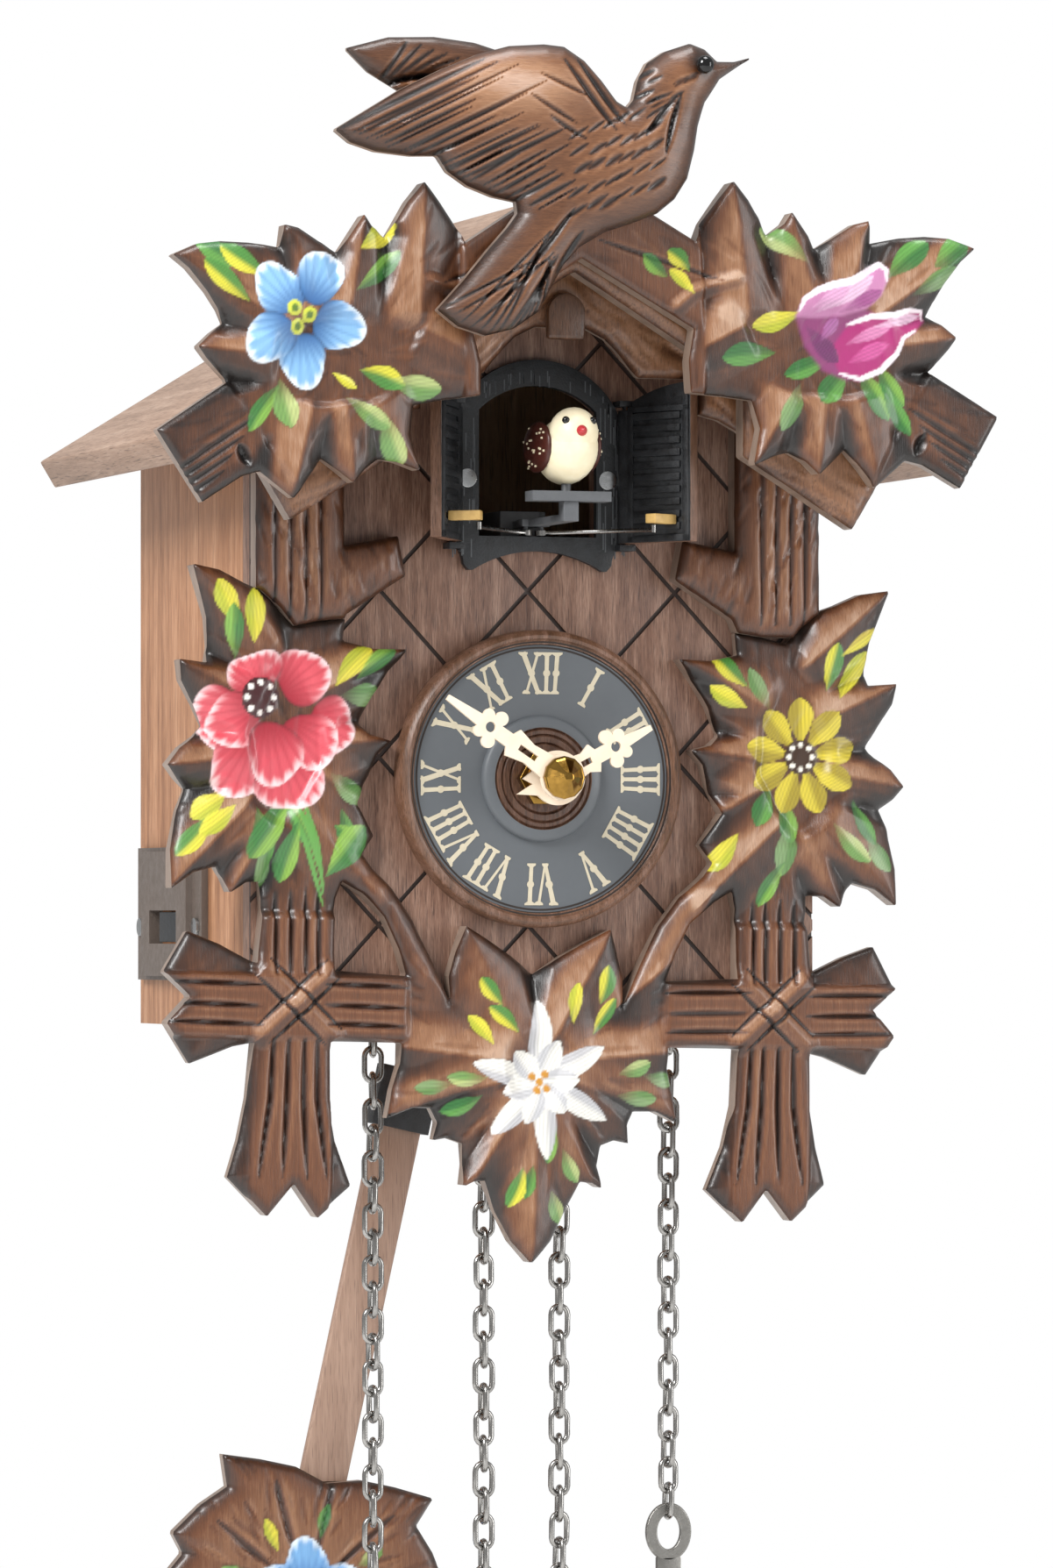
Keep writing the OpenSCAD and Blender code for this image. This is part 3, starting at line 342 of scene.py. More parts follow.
def mesh_piece(name, verts, faces, body, mats, replaced=(), slot=None, smooth=True, sharp=None,
               weld=0.0):
    """A closed mesh from millimetre points; sharp = angle in degrees above which edges stay hard."""
    mesh = bpy.data.meshes.new(name)
    mesh.from_pydata([tuple(p) for p in place(verts)], [], [tuple(f) for f in faces])
    face_outwards(mesh, weld)
    obj = bpy.data.objects.new(name, mesh)
    settle(obj, body, mats, replaced, smooth)
    if sharp:
        mesh.set_sharp_from_angle(angle=math.radians(sharp))
    return obj


def join(parts):
    """Joins (verts, faces) lists into one."""
    verts, faces, at = [], [], 0
    for v, f in parts:
        v = np.asarray(v, float).reshape(-1, 3)
        verts.append(v)
        faces.extend([tuple(i + at for i in face) for face in f])
        at += len(v)
    return np.vstack(verts), faces


def turned(profile, steps=64, centre=(0, 0, 0), axis="y"):
    """A solid of revolution: profile of (radius, distance towards the viewer) from back to front."""
    pts, faces = [], []
    n = len(profile)
    for i in range(steps):
        a = 2 * math.pi * i / steps
        for r, h in profile:
            if axis == "y":
                pts.append((centre[0] + r * math.cos(a), centre[1] - h, centre[2] + r * math.sin(a)))
            else:
                pts.append((centre[0] + r * math.cos(a), centre[1] + r * math.sin(a), centre[2] + h))
    for i in range(steps):
        j = (i + 1) % steps
        for k in range(n - 1):
            faces.append((i * n + k, j * n + k, j * n + k + 1, i * n + k + 1))
    for k in (0, n - 1):
        if profile[k][0] > 1e-6 and profile[0] != profile[-1]:
            faces.append(tuple(i * n + k for i in range(steps)))
    return pts, faces


def half_circle(radius, steps, squash=1.0):
    """The profile of a ball, flattened along its axis by squash."""
    turns = [math.pi * k / steps for k in range(steps + 1)]
    return [(radius * math.sin(a), -radius * math.cos(a) * squash) for a in turns]


def block(low, high, bevel=0.0):
    """A box with its edges cut by bevel."""
    bm = bmesh.new()
    bmesh.ops.create_cube(bm, size=1.0)
    size = np.subtract(high, low)
    for v in bm.verts:
        v.co = Vector((low[i] + (v.co[i] + 0.5) * size[i] for i in range(3)))
    if bevel:
        bmesh.ops.bevel(bm, geom=list(bm.edges), offset=bevel, segments=2, profile=0.6,
                        affect="EDGES", clamp_overlap=True)
    verts = [tuple(v.co) for v in bm.verts]
    faces = [tuple(v.index for v in f.verts) for f in bm.faces]
    bm.free()
    return verts, faces


def bent_wire(points, radius, steps=10):
    """A round wire bent along a closed path of points."""
    p = np.asarray(points, float)
    n = len(p)
    verts, faces = [], []
    up = None
    for i in range(n):
        d = p[(i + 1) % n] - p[i - 1]
        d = d / (np.linalg.norm(d) + 1e-12)
        if up is None:
            up = np.cross(d, (0.3, 0.2, 0.93))
        up = up - d * np.dot(up, d)
        up /= np.linalg.norm(up)
        across = np.cross(d, up)
        for k in range(steps):
            t = 2 * math.pi * k / steps
            verts.append(tuple(p[i] + radius * (math.cos(t) * up + math.sin(t) * across)))
    for i in range(n):
        j = (i + 1) % n
        for k in range(steps):
            m = (k + 1) % steps
            faces.append((i * steps + k, i * steps + m, j * steps + m, j * steps + k))
    return verts, faces


def plate(loops, thick, bevel, at):
    """A flat outline (with holes) made solid, u right, v up; at(u, v, w) gives its place, w to the
    viewer."""
    curve = bpy.data.curves.new("outline", "CURVE")
    curve.dimensions = "2D"
    curve.fill_mode = "BOTH"
    curve.extrude = thick / 2 - bevel
    curve.bevel_depth = bevel
    curve.bevel_resolution = 2
    curve.offset = -bevel
    for loop in loops:
        line = curve.splines.new("POLY")
        line.points.add(len(loop) - 1)
        for point, (u, v) in zip(line.points, loop):
            point.co = (u, v, 0, 1)
        line.use_cyclic_u = True
    obj = bpy.data.objects.new("outline", curve)
    bpy.context.scene.collection.objects.link(obj)
    mesh = bpy.data.meshes.new_from_object(obj.evaluated_get(bpy.context.evaluated_depsgraph_get()))
    verts = [at(v.co.x, v.co.y, v.co.z + thick / 2) for v in mesh.vertices]
    faces = [tuple(f.vertices) for f in mesh.polygons]
    bpy.data.objects.remove(obj)
    bpy.data.curves.remove(curve)
    bpy.data.meshes.remove(mesh)
    return verts, faces


def ring(radius, n, centre=(0, 0), tall=None):
    """Points round a circle, or round an oval when tall gives its other radius."""
    turns = [2 * math.pi * k / n for k in range(n)]
    return [(centre[0] + radius * math.cos(a), centre[1] + (tall or radius) * math.sin(a))
            for a in turns]


NO_TURN = (0, 0, 0)
FULL_SIZE = (1, 1, 1)


def repeat(name, unit, spots, mats, body, replaced=(), sharp=40):
    """Sets one small mesh on many spots with Geometry Nodes.

    spots: list of (place, (turn x, y, z), (size x, y, z)); the tree's inputs are the unit, an
    overall size and the finish."""
    pts = bpy.data.meshes.new(name + " spots")
    pts.from_pydata([tuple(p) for p in place([s[0] for s in spots])], [], [])
    for key, col in (("turn", 1), ("size", 2)):
        layer = pts.attributes.new(key, "FLOAT_VECTOR", "POINT")
        layer.data.foreach_set("vector", np.asarray([s[col] for s in spots], float).ravel())
    unit_mesh = bpy.data.meshes.new(name + " unit")
    unit_mesh.from_pydata([tuple(np.asarray(v) / 1000.0) for v in unit[0]], [], unit[1])
    face_outwards(unit_mesh)
    unit_mesh.polygons.foreach_set("use_smooth", [True] * len(unit_mesh.polygons))
    unit_mesh.set_sharp_from_angle(angle=math.radians(sharp))
    unit_obj = bpy.data.objects.new(name + " unit", unit_mesh)
    tree = bpy.data.node_groups.new(name, "GeometryNodeTree")
    add = tree.interface.new_socket
    add("Geometry", in_out="INPUT", socket_type="NodeSocketGeometry")
    piece = add("Unit", in_out="INPUT", socket_type="NodeSocketObject")
    scale = add("Overall size", in_out="INPUT", socket_type="NodeSocketFloat")
    paint = add("Finish", in_out="INPUT", socket_type="NodeSocketMaterial")
    add("Geometry", in_out="OUTPUT", socket_type="NodeSocketGeometry")
    given = node(tree, "NodeGroupInput")
    turn = node(tree, "GeometryNodeInputNamedAttribute", {"Name": "turn"},
                data_type="FLOAT_VECTOR").outputs[0]
    size = node(tree, "GeometryNodeInputNamedAttribute", {"Name": "size"},
                data_type="FLOAT_VECTOR").outputs[0]
    shape = node(tree, "GeometryNodeObjectInfo", {"Object": given.outputs["Unit"]}).outputs["Geometry"]
    euler = node(tree, "FunctionNodeEulerToRotation", {0: turn}).outputs[0]
    full = node(tree, "ShaderNodeVectorMath", {0: size, "Scale": given.outputs["Overall size"]},
                operation="SCALE").outputs[0]
    set_out = node(tree, "GeometryNodeInstanceOnPoints", {"Points": given.outputs["Geometry"],
                   "Instance": shape, "Rotation": euler, "Scale": full}).outputs[0]
    real = node(tree, "GeometryNodeRealizeInstances", {"Geometry": set_out}).outputs[0]
    done = node(tree, "GeometryNodeSetMaterial", {"Geometry": real,
                "Material": given.outputs["Finish"]}).outputs[0]
    node(tree, "NodeGroupOutput", {0: done})
    obj = bpy.data.objects.new(name, pts)
    bpy.context.scene.collection.objects.link(obj)
    mod = obj.modifiers.new("repeat", "NODES")
    mod.node_group = tree
    mod[piece.identifier] = unit_obj
    mod[scale.identifier] = 1.0
    mod[paint.identifier] = mats
    mesh = bpy.data.meshes.new_from_object(obj.evaluated_get(bpy.context.evaluated_depsgraph_get()))
    obj.modifiers.remove(mod)
    for key in ("turn", "size"):
        if key in mesh.attributes:
            mesh.attributes.remove(mesh.attributes[key])
    obj.data = mesh
    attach(obj, body)
    if replaced:
        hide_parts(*replaced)
    bpy.data.objects.remove(unit_obj)
    return obj


# ---------------------------------------------------------------- carving tools
def soft(v, low, high):
    """Rises smoothly from 0 at low to 1 at high."""
    t = np.clip((v - low) / (high - low), 0, 1)
    return t * t * (3 - 2 * t)


def to_line(p, path):
    """Distance to a path of points, the share of the way along it, and the signed side."""
    best = np.full(len(p), 1e9)
    along = np.zeros(len(p))
    side = np.zeros(len(p))
    path = np.asarray(path, float)
    lens = np.hypot(*(path[1:] - path[:-1]).T)
    total = lens.sum()
    done = 0.0
    for a, b, length in zip(path[:-1], path[1:], lens):
        d = (b - a) / length
        rel = p - a
        t = np.clip(rel @ d, 0, length)
        off = rel - t[:, None] * d
        dist = np.hypot(off[:, 0], off[:, 1])
        near = dist < best
        best = np.where(near, dist, best)
        along = np.where(near, (done + t) / total, along)
        side = np.where(near, d[0] * rel[:, 1] - d[1] * rel[:, 0], side)
        done += length
    return best, along, side


def inside(p, loops):
    """Even-odd test of points against closed loops."""
    odd = np.zeros(len(p), bool)
    for a, b in loops:
        crosses = (a[1] > p[:, 1]) != (b[1] > p[:, 1])
        if crosses.any():
            x = a[0] + (p[:, 1] - a[1]) * (b[0] - a[0]) / (b[1] - a[1] + 1e-30)
            odd ^= crosses & (p[:, 0] < x)
    return odd


def closed(points):
    """The edges of a closed outline, as pairs of points."""
    return [(np.array(a, float), np.array(b, float))
            for a, b in zip(points, list(points[1:]) + [points[0]])]


def region(p, points, blur=0.3):
    """1 inside an outline, 0 outside, soft over the edge."""
    dist = to_line(p, list(points) + [points[0]])[0]
    sign = np.where(inside(p, closed(points)), 1, -1)
    return soft(dist * sign, -blur, blur)


REACH = 14.0                                     # distances to an edge are measured up to this far


class Carving:
    """A board seen from the front: a fine grid cut to its CAD outline, with a height, a tone of stain,
    painted highlight and painted shade, and a coat of paint at every point.

    p holds the points, d their distance from the edge, h their height above the back, and rubbed the
    direction that painted light falls from: the flank of a crease that faces it is painted lighter, the
    other darker."""

    def __init__(self, name, step):
        co, tris = self.front_triangles(name)
        self.outline = self.open_edges(co, tris)
        xs, zs, p, nearest, dist = self.lay_grid(step)
        self.trim_grid(xs, zs, p, nearest, np.where(inside(p, self.outline), dist, -dist))
        self.h = np.full(len(self.p), self.thick)
        self.tone = np.full(len(self.p), 0.5)
        self.rgb = np.zeros((len(self.p), 3))
        self.cover = np.zeros(len(self.p))
        # the direction painted light falls from, the upper left: flanks facing it are painted lighter,
        # the others darker
        self.rubbed = np.tile([-0.6, 0.8], (len(self.p), 1))

    def front_triangles(self, name):
        """The CAD board's points in millimetres and the triangles of its front face."""
        mesh = NODES[name].data
        co = np.empty(len(mesh.vertices) * 3)
        mesh.vertices.foreach_get("co", co)
        co = co.reshape(-1, 3) * 1000.0
        co[:, 2] += DIAL_DROP
        self.name = name
        self.front = co[:, 1].min()
        self.back = co[:, 1].max()
        self.thick = self.back - self.front
        mesh.calc_loop_triangles()
        tris = np.empty(len(mesh.loop_triangles) * 3, int)
        mesh.loop_triangles.foreach_get("vertices", tris)
        tris = tris.reshape(-1, 3)
        return co, tris[(co[tris][:, :, 1] < self.front + 0.02).all(1)]

    @staticmethod
    def open_edges(co, tris):
        """The edges that only one front triangle has: the board's outline and its holes."""
        keys = np.round(co * 200).astype(int)
        edges = {}
        for tri in tris:
            for i, j in ((0, 1), (1, 2), (2, 0)):
                a, b = tri[i], tri[j]
                ka, kb = (keys[a][0], keys[a][2]), (keys[b][0], keys[b][2])
                if (kb, ka) in edges:
                    del edges[(kb, ka)]
                else:
                    edges[(ka, kb)] = (co[a][[0, 2]], co[b][[0, 2]])
        return list(edges.values())

    def lay_grid(self, step):
        """A square grid over the outline, with each point's nearest place on it and its distance."""
        pts = np.array([a for a, b in self.outline])
        low, high = pts.min(0), pts.max(0)
        xs = np.arange(low[0] - step, high[0] + 2 * step, step)
        zs = np.arange(low[1] - step, high[1] + 2 * step, step)
        gx, gz = np.meshgrid(xs, zs, indexing="ij")
        p = np.column_stack([gx.ravel(), gz.ravel()])
        dist = np.full(len(p), 1e9)
        nearest = p.copy()
        for a, b in self.outline:
            d = b - a
            length2 = d @ d
            if length2 < 1e-12:
                continue
            lo, hi = np.minimum(a, b) - REACH, np.maximum(a, b) + REACH
            i0, i1 = np.searchsorted(xs, [lo[0], hi[0]])
            j0, j1 = np.searchsorted(zs, [lo[1], hi[1]])
            rows = (np.arange(i0, i1)[:, None] * len(zs) + np.arange(j0, j1)[None, :]).ravel()
            if not len(rows):
                continue
            sub = p[rows]
            t = np.clip(((sub - a) @ d) / length2, 0, 1)
            q = a + t[:, None] * d
            gap = np.hypot(*(sub - q).T)
            near = gap < dist[rows]
            dist[rows[near]] = gap[near]
            nearest[rows[near]] = q[near]
        return xs, zs, p, nearest, np.minimum(dist, REACH)

    def trim_grid(self, xs, zs, p, nearest, signed):
        """Keeps the cells that lie mostly on the board and pulls their outer points onto its edge."""
        n, m = len(xs), len(zs)
        grid = signed.reshape(n, m)
        keep = (grid[:-1, :-1] + grid[1:, :-1] + grid[:-1, 1:] + grid[1:, 1:]) > 0
        index = np.arange(n * m).reshape(n, m)
        quads = np.stack([index[:-1, :-1][keep], index[1:, :-1][keep], index[1:, 1:][keep],
                          index[:-1, 1:][keep]], 1)
        count = np.bincount(quads.ravel(), minlength=n * m)
        used = np.flatnonzero(count)
        edge = (count > 0) & (count < 4)
        p[edge] = nearest[edge]
        signed[edge] = 0.0
        remap = np.full(n * m, -1)
        remap[used] = np.arange(len(used))
        self.p = p[used]
        self.d = np.maximum(signed[used], 0.0)
        self.quads = remap[quads]

    def turned_by(self, angle, centre_z):
        """The points as they lay before the board was turned, right side up by angle."""
        c, s = math.cos(angle), math.sin(angle)
        x, z = self.p[:, 0], self.p[:, 1] - centre_z
        return np.column_stack([x * c + z * s, -x * s + z * c + centre_z])

    def ridge(self, p, path, rise, width, tone=0.0, fade=0.15):
        """A crease that stands up (or, with a negative rise, is cut in), sharp along its path. Its
        crest is paler, stain rubbed off and a painted highlight, and its flanks are painted lighter or
        darker by how they face the painted light.
        """
        d, t, side = to_line(p, path)
        form = np.maximum(0, 1 - np.sqrt(d * d + 0.05) / width)
        form *= soft(t, -0.01, fade)
        self.h += rise * form
        run = np.array(path[-1], float) - np.array(path[0], float)
        left = np.array([-run[1], run[0]]) / math.hypot(*run)
        # the flank turned to the painted light is painted lighter, the other darker
        painted_light_side = np.sign(side) * (self.rubbed @ left)
        self.tone += tone * (0.55 * form + 0.75 * painted_light_side * soft(form, 0.0, 0.5) * soft(d, 0, 0.5))

    def dome(self, p, centre, radii, rise, tone=0.0):
        """A low round swelling."""
        r = np.hypot((p[:, 0] - centre[0]) / radii[0], (p[:, 1] - centre[1]) / radii[1])
        form = np.maximum(0, 1 - r * r) ** 1.5
        self.h += rise * form
        self.tone += tone * form

    def gouge(self, p, path, deep, width, tone=-0.35):
        """A V tool cut that runs out at both ends."""
        d, t, _ = to_line(p, path)
        run = np.sin(np.pi * np.clip(t, 0.02, 0.98)) ** 0.5
        form = np.maximum(0, 1 - d / (width * run + 1e-6))
        self.h -= deep * form * run
        self.tone += tone * soft(form, 0.0, 0.9)
        lip = np.maximum(0, 1 - np.abs(d - width * 1.25) / (width * 0.7)) * run
        self.tone += 0.12 * lip

    def paint(self, colour, alpha, raised=0.05):
        """Lays one coat of paint over the last, as thick as raised."""
        colour = np.asarray(colour, float)
        if colour.ndim == 1:
            colour = np.tile(colour[:3], (len(self.p), 1))
        a = np.clip(alpha, 0, 1)
        total = a + self.cover * (1 - a)
        keep = (self.cover * (1 - a) / np.maximum(total, 1e-6))[:, None]
        new = (a / np.maximum(total, 1e-6))[:, None]
        self.rgb = self.rgb * keep + colour[:, :3] * new
        self.cover = total
        self.h += raised * a

    def dab(self, base, tip, width, one, two=None, mid=1.5, opaque=0.95, side=0.15, faint=0.0,
            bend=0.0):
        """A brush dab from its base to its round tip; two = colour of its left half.

        mid moves its widest place, side the line between its colours; faint thins its base."""
        base, tip = np.array(base, float), np.array(tip, float)
        d = tip - base
        length = math.hypot(*d)
        d /= length
        rel = self.p - base
        t = rel @ d / length
        s = d[0] * rel[:, 1] - d[1] * rel[:, 0] - bend * 4 * t * (1 - t)
        half = width / 2 * np.sin(np.pi * np.clip(t, 0.0, 1.0) ** mid) ** 0.7
        alpha = soft(np.where((t > 0) & (t < 1), half, -1) - np.abs(s), -0.12, 0.16)
        first = np.array(linear(one)[:3])
        colour = np.tile(first, (len(self.p), 1))
        if two:
            share = soft(s / (width / 2), side - 0.3, side + 0.3)[:, None]
            colour = colour * (1 - share) + np.array(linear(two)[:3]) * share
        streaks = 0.92 + 0.16 * np.sin(s * 9 + t * 3 + width * 7)
        if faint:
            alpha = alpha * (1 - faint * (1 - soft(t, 0.0, 0.6)))
        self.paint(colour * streaks[:, None], alpha * opaque)

    def line(self, path, width, colour):
        """A brushed line that thins out at both ends."""
        d, t, _ = to_line(self.p, path)
        half = width / 2 * np.sin(np.pi * np.clip(t * 0.96 + 0.02, 0, 1)) ** 0.45
        self.paint(linear(colour), soft(half - d, -0.1, 0.14) * 0.95)

    def petal(self, centre, away, radii, colour, deep, rim):
        """A round petal, darker towards the heart, with a thick pale rim on its outer side."""
        away = np.array(away, float)
        away /= math.hypot(*away)
        rel = self.p - np.array(centre, float)
        u = rel @ away
        v = rel @ np.array([-away[1], away[0]])
        wave = 1 + 0.07 * np.sin(3.0 * np.arctan2(v, u) + centre[0])
        r = np.hypot(u / radii[0], v / radii[1]) / wave
        size = min(radii)
        alpha = soft((1 - r) * size, -0.12, 0.16)
        fan = np.arctan2(v, u + radii[0] * 1.3)
        streak = (0.5 + 0.35 * np.sin(fan * 31 + centre[0]) + 0.15 * np.sin(fan * 67))[:, None]
        mix = np.clip(soft(u / radii[0], -1.0, 0.5)[:, None] * (0.7 + 0.6 * streak), 0, 1)
        body = np.array(linear(deep)[:3]) * (1 - mix) + np.array(linear(colour)[:3]) * mix
        edge = soft(r[:, None] + 0.22 * streak, 0.80, 1.10)
        edge = edge * soft(u / radii[0], -0.35, 0.65)[:, None]
        body = body * (1 - edge) + np.array(linear(rim)[:3]) * edge
        lee = (soft(r, 0.86, 1.0) * soft(-u / radii[0], 0.0, 0.5))[:, None]
        body = body * (1 - 0.45 * lee)
        self.paint(body, alpha * 0.97, 0.08)

    def leaf(self, base, tip, width, style, bend):
        """A painted leaf: two greens, or green with a yellow side, thin where the brush lifted."""
        one, two, faint = LEAF_PAINTS[style]
        self.dab(base, tip, width, one, two, mid=1.35, faint=faint, bend=bend, side=0.1, opaque=0.93)

    def dots(self, spots, radius, colour):
        """Round dots left by the end of the brush."""
        for x, z in spots:
            r = np.hypot(self.p[:, 0] - x, self.p[:, 1] - z)
            self.paint(linear(colour), soft(radius - r, -0.1, 0.15), 0.15)

    def finish(self, body, mats, slot, lip=0.9, reach=0.5):
        """Rounds the rim by lip over reach, closes the sides and the back, and makes the piece."""
        self.h = np.clip(self.h, 0.8, self.thick - 0.02)
        self.h -= lip * np.exp(-self.d / reach)
        self.h = np.clip(self.h, 0.4, self.thick - 0.02)
        n = len(self.p)
        pairs = {}
        for quad in self.quads.tolist():
            for a, b in zip(quad, quad[1:] + quad[:1]):
                if (b, a) in pairs:
                    del pairs[(b, a)]
                else:
                    pairs[(a, b)] = True
        rim = sorted({v for pair in pairs for v in pair})
        spot = {v: i for i, v in enumerate(rim)}
        k = len(rim)
        front = np.column_stack([self.p[:, 0], self.back - self.h, self.p[:, 1]])
        wall = front[rim].copy()
        wall[:, 1] += 0.12
        base = front[rim].copy()
        base[:, 1] = self.back
        verts = np.vstack([front, wall, base])
        faces = self.quads.tolist()
        for a, b in pairs:
            i, j = spot[a], spot[b]
            faces.append((b, a, n + i, n + j))
            faces.append((n + j, n + i, n + k + i, n + k + j))
        mesh = bpy.data.meshes.new(self.name + " carved")
        mesh.from_pydata([tuple(v) for v in place(verts)], [], faces)
        for key, front_part, rest in (("tone", np.clip(self.tone, 0, 1), 0.35),
                                      ("side", np.zeros(n), 1.0)):
            layer = mesh.attributes.new(key, "FLOAT", "POINT")
            layer.data.foreach_set("value", np.concatenate([front_part, np.full(2 * k, rest)]))
        layer = mesh.color_attributes.new("paint", "FLOAT_COLOR", "POINT")
        rgba = np.zeros((n + 2 * k, 4))
        rgba[:n, :3] = self.rgb
        rgba[:n, 3] = self.cover
        layer.data.foreach_set("color", rgba.ravel())
        bm = bmesh.new()
        bm.from_mesh(mesh)
        open_edges = [e for e in bm.edges if len(e.link_faces) == 1]
        bmesh.ops.triangle_fill(bm, edges=open_edges, use_beauty=False, use_dissolve=False)
        bmesh.ops.recalc_face_normals(bm, faces=bm.faces)
        bm.to_mesh(mesh)
        bm.free()
        obj = bpy.data.objects.new(self.name + "_carved", mesh)
        settle(obj, body, mats, [self.name])
        mesh.set_sharp_from_angle(angle=math.radians(55))


def from_cad(name, body, mats, bevel, pick=None):
    """A CAD part with its edges broken; pick(normal) chooses among several finishes."""
    mesh = NODES[name].data.copy()
    bm = bmesh.new()
    bm.from_mesh(mesh)
    bmesh.ops.remove_doubles(bm, verts=bm.verts, dist=2e-6)
    bmesh.ops.dissolve_limit(bm, angle_limit=math.radians(1.0), verts=bm.verts, edges=bm.edges)
    if bevel:
        hard = [e for e in bm.edges if len(e.link_faces) == 2
                and e.calc_face_angle(0) > math.radians(28)]
        bmesh.ops.bevel(bm, geom=hard, offset=bevel / 1000, segments=2, profile=0.6,
                        affect="EDGES", clamp_overlap=True)
    bmesh.ops.triangulate(bm, faces=[f for f in bm.faces if len(f.verts) > 4])
    bm.to_mesh(mesh)
    bm.free()
    obj = bpy.data.objects.new(name + "_finished", mesh)
    settle(obj, body, mats, [name])
    mesh.set_sharp_from_angle(angle=math.radians(35))
    if pick:
        for face in mesh.polygons:
            face.material_index = pick(face.normal)
    return obj


# A leaf's main colour, its left half's colour, and how far its base thins out
LEAF_PAINTS = [("#3c7a3a", "#7fb04a", 0.45), ("#4a8a3a", "#dcd640", 0.25), ("#6f9b52", "#b4c37e", 0.75),
               ("#e2d944", "#b9bf35", 0.2), ("#7fa06a", "#5d8a4a", 0.85), ("#2f6f34", "#5c9a45", 0.3)]


def spray(c, heart, spots, length, width, seed):
    """Painted leaves around a flower, each pointing away from its heart."""
    rng = random.Random(seed)
    for x, z in spots:
        d = np.array([x - heart[0], z - heart[1]])
        d = d / math.hypot(*d) * length * rng.uniform(0.42, 0.58)
        turn = rng.uniform(-0.35, 0.35)
        d = np.array([d[0] * math.cos(turn) - d[1] * math.sin(turn),
                      d[0] * math.sin(turn) + d[1] * math.cos(turn)])
        c.leaf((x - d[0], z - d[1]), (x + d[0], z + d[1]), width * rng.uniform(0.8, 1.15),
               rng.choice([0, 1, 2, 3, 4, 5]), bend=rng.uniform(-0.5, 0.5))


RIDGE_WIDE = 7.5
VALLEY_WIDE = 3.2


def cover_with(c, u, base, swell, ridges, valleys):
    """The carver's surface: swelling from the rim, creased ridges and V cuts that run in from it."""
    c.h = base + swell * (1 - np.exp(-c.d / 5.0))
    c.tone = 0.10 + 0.38 * (1 - np.exp(-c.d / 2.2))
    for path, rise in ridges:
        c.ridge(u, path, rise * 2.3, RIDGE_WIDE, 0.38)
    for path, deep in valleys:
        d, t, _ = to_line(u, path)
        width = VALLEY_WIDE * (1 - 0.65 * t)
        form = np.maximum(0, 1 - d / width) * soft(1 - t, 0.0, 0.5)
        c.h -= deep * form
        c.tone -= 0.5 * form
    wave = np.sin(u[:, 0] * 1.1 + 2 * np.sin(u[:, 1] * 0.35)) * np.sin(u[:, 1] * 0.9 + u[:, 0] * 0.3)
    c.h += 0.05 * wave
    c.tone += 0.04 * wave
    c.h = c.thick * np.tanh(np.maximum(c.h, 0.8) / c.thick * 1.06)


def chips(c, u, seed, count, length, heading, deep=0.25, width=0.7):
    """Scattered short tool marks running along heading(u, v) degrees."""
    rng = random.Random(seed)
    rows = [rng.randrange(len(u)) for _ in range(count)]
    for row in rows:
        x, z = u[row]
        a = math.radians(heading(x, z) + rng.uniform(-14, 14))
        half = length * rng.uniform(0.35, 0.65)
        path = [(x - half * math.cos(a), z - half * math.sin(a)),
                (x + half * math.cos(a), z + half * math.sin(a))]
        near = np.hypot(u[:, 0] - x, u[:, 1] - z) < length
        d, t, _ = to_line(u[near], path)
        run = np.sin(np.pi * np.clip(t, 0.02, 0.98)) ** 0.5
        form = np.maximum(0, 1 - d / (width * run + 1e-6))
        c.h[near] -= deep * form * run
        c.tone[near] += (-0.10 if rng.random() < 0.6 else 0.07) * soft(form, 0, 0.9)


# ---------------------------------------------------------------- crown
crown = Carving("crown_carving", GRID)
u = crown.turned_by(CROWN_TURN, 80.0)
# the painted light's direction is mirrored for the left half, like the leaves
crown.rubbed[:, 0] *= np.sign(u[:, 0])
u[:, 0] = np.abs(u[:, 0])
cover_with(crown, u, 2.5, 1.2, [
    ([(33, 84), (30.8, 111)], 1.5), ([(47, 86), (42.7, 105)], 1.2), ([(52, 86), (58, 103)], 1.2),
    ([(56, 84), (79, 98.5)], 1.1), ([(60, 80), (75, 81.5)], 1.0), ([(54, 72), (58.5, 54)], 1.3),
    ([(48, 72), (46.5, 57)], 1.2), ([(42, 72), (34, 59)], 1.1), ([(33, 85), (20.8, 79)], 1.2)],
    [([(37.5, 102), (40, 88)], 2.2), ([(48, 99), (49, 90)], 1.8), ([(59, 100), (57, 92)], 1.8),
     ([(70.3, 86), (62, 84)], 1.9), ([(70, 75.2), (62, 75)], 1.8), ([(52.3, 60.7), (51, 70)], 1.8),
     ([(41, 60.4), (43, 70)], 1.8), ([(64.5, 58.5), (62, 66)], 1.9)])
rafter = soft(24 - u[:, 0], -0.6, 0.6)              # the plain rafters over the gable
crown.h = crown.h * (1 - rafter) + 4.6 * rafter
crown.tone = crown.tone * (1 - rafter) + (0.42 + 0.15 * soft(crown.d, 0, 3)) * rafter
crown.ridge(u, [(17, 87), (22, 91), (30.3, 93.3)], 1.0, 2.0, 0.25)
# the log end that sticks out below the leaves
log = soft((u[:, 0] - 65) * 0.85 + (67 - u[:, 1]) * 0.52, -0.8, 0.8) * soft(78 - u[:, 1], 0, 2)
crown.h = crown.h * (1 - log) + 3.6 * log
for k in range(4):
    x, z = 67.5 + k * 2.0, 67.0 - k * 3.2
    crown.gouge(u, [(x - 2, z + 1.3), (x + 14, z - 8.7)], 0.7, 0.9)
crown.gouge(u, [(66.5, 59.5), (68.5, 63.5)], 1.6, 1.5, -0.6)
crown.gouge(u, [(3, 101), (28, 93)], 0.5, 0.7)


def crown_heading(x, z):
    """Tool marks on the crown run out from the middle of each leaf."""
    return math.degrees(math.atan2(z - 80, x - 44))


chips(crown, u, 3, 70, 7.0, crown_heading, 0.12, 0.9)
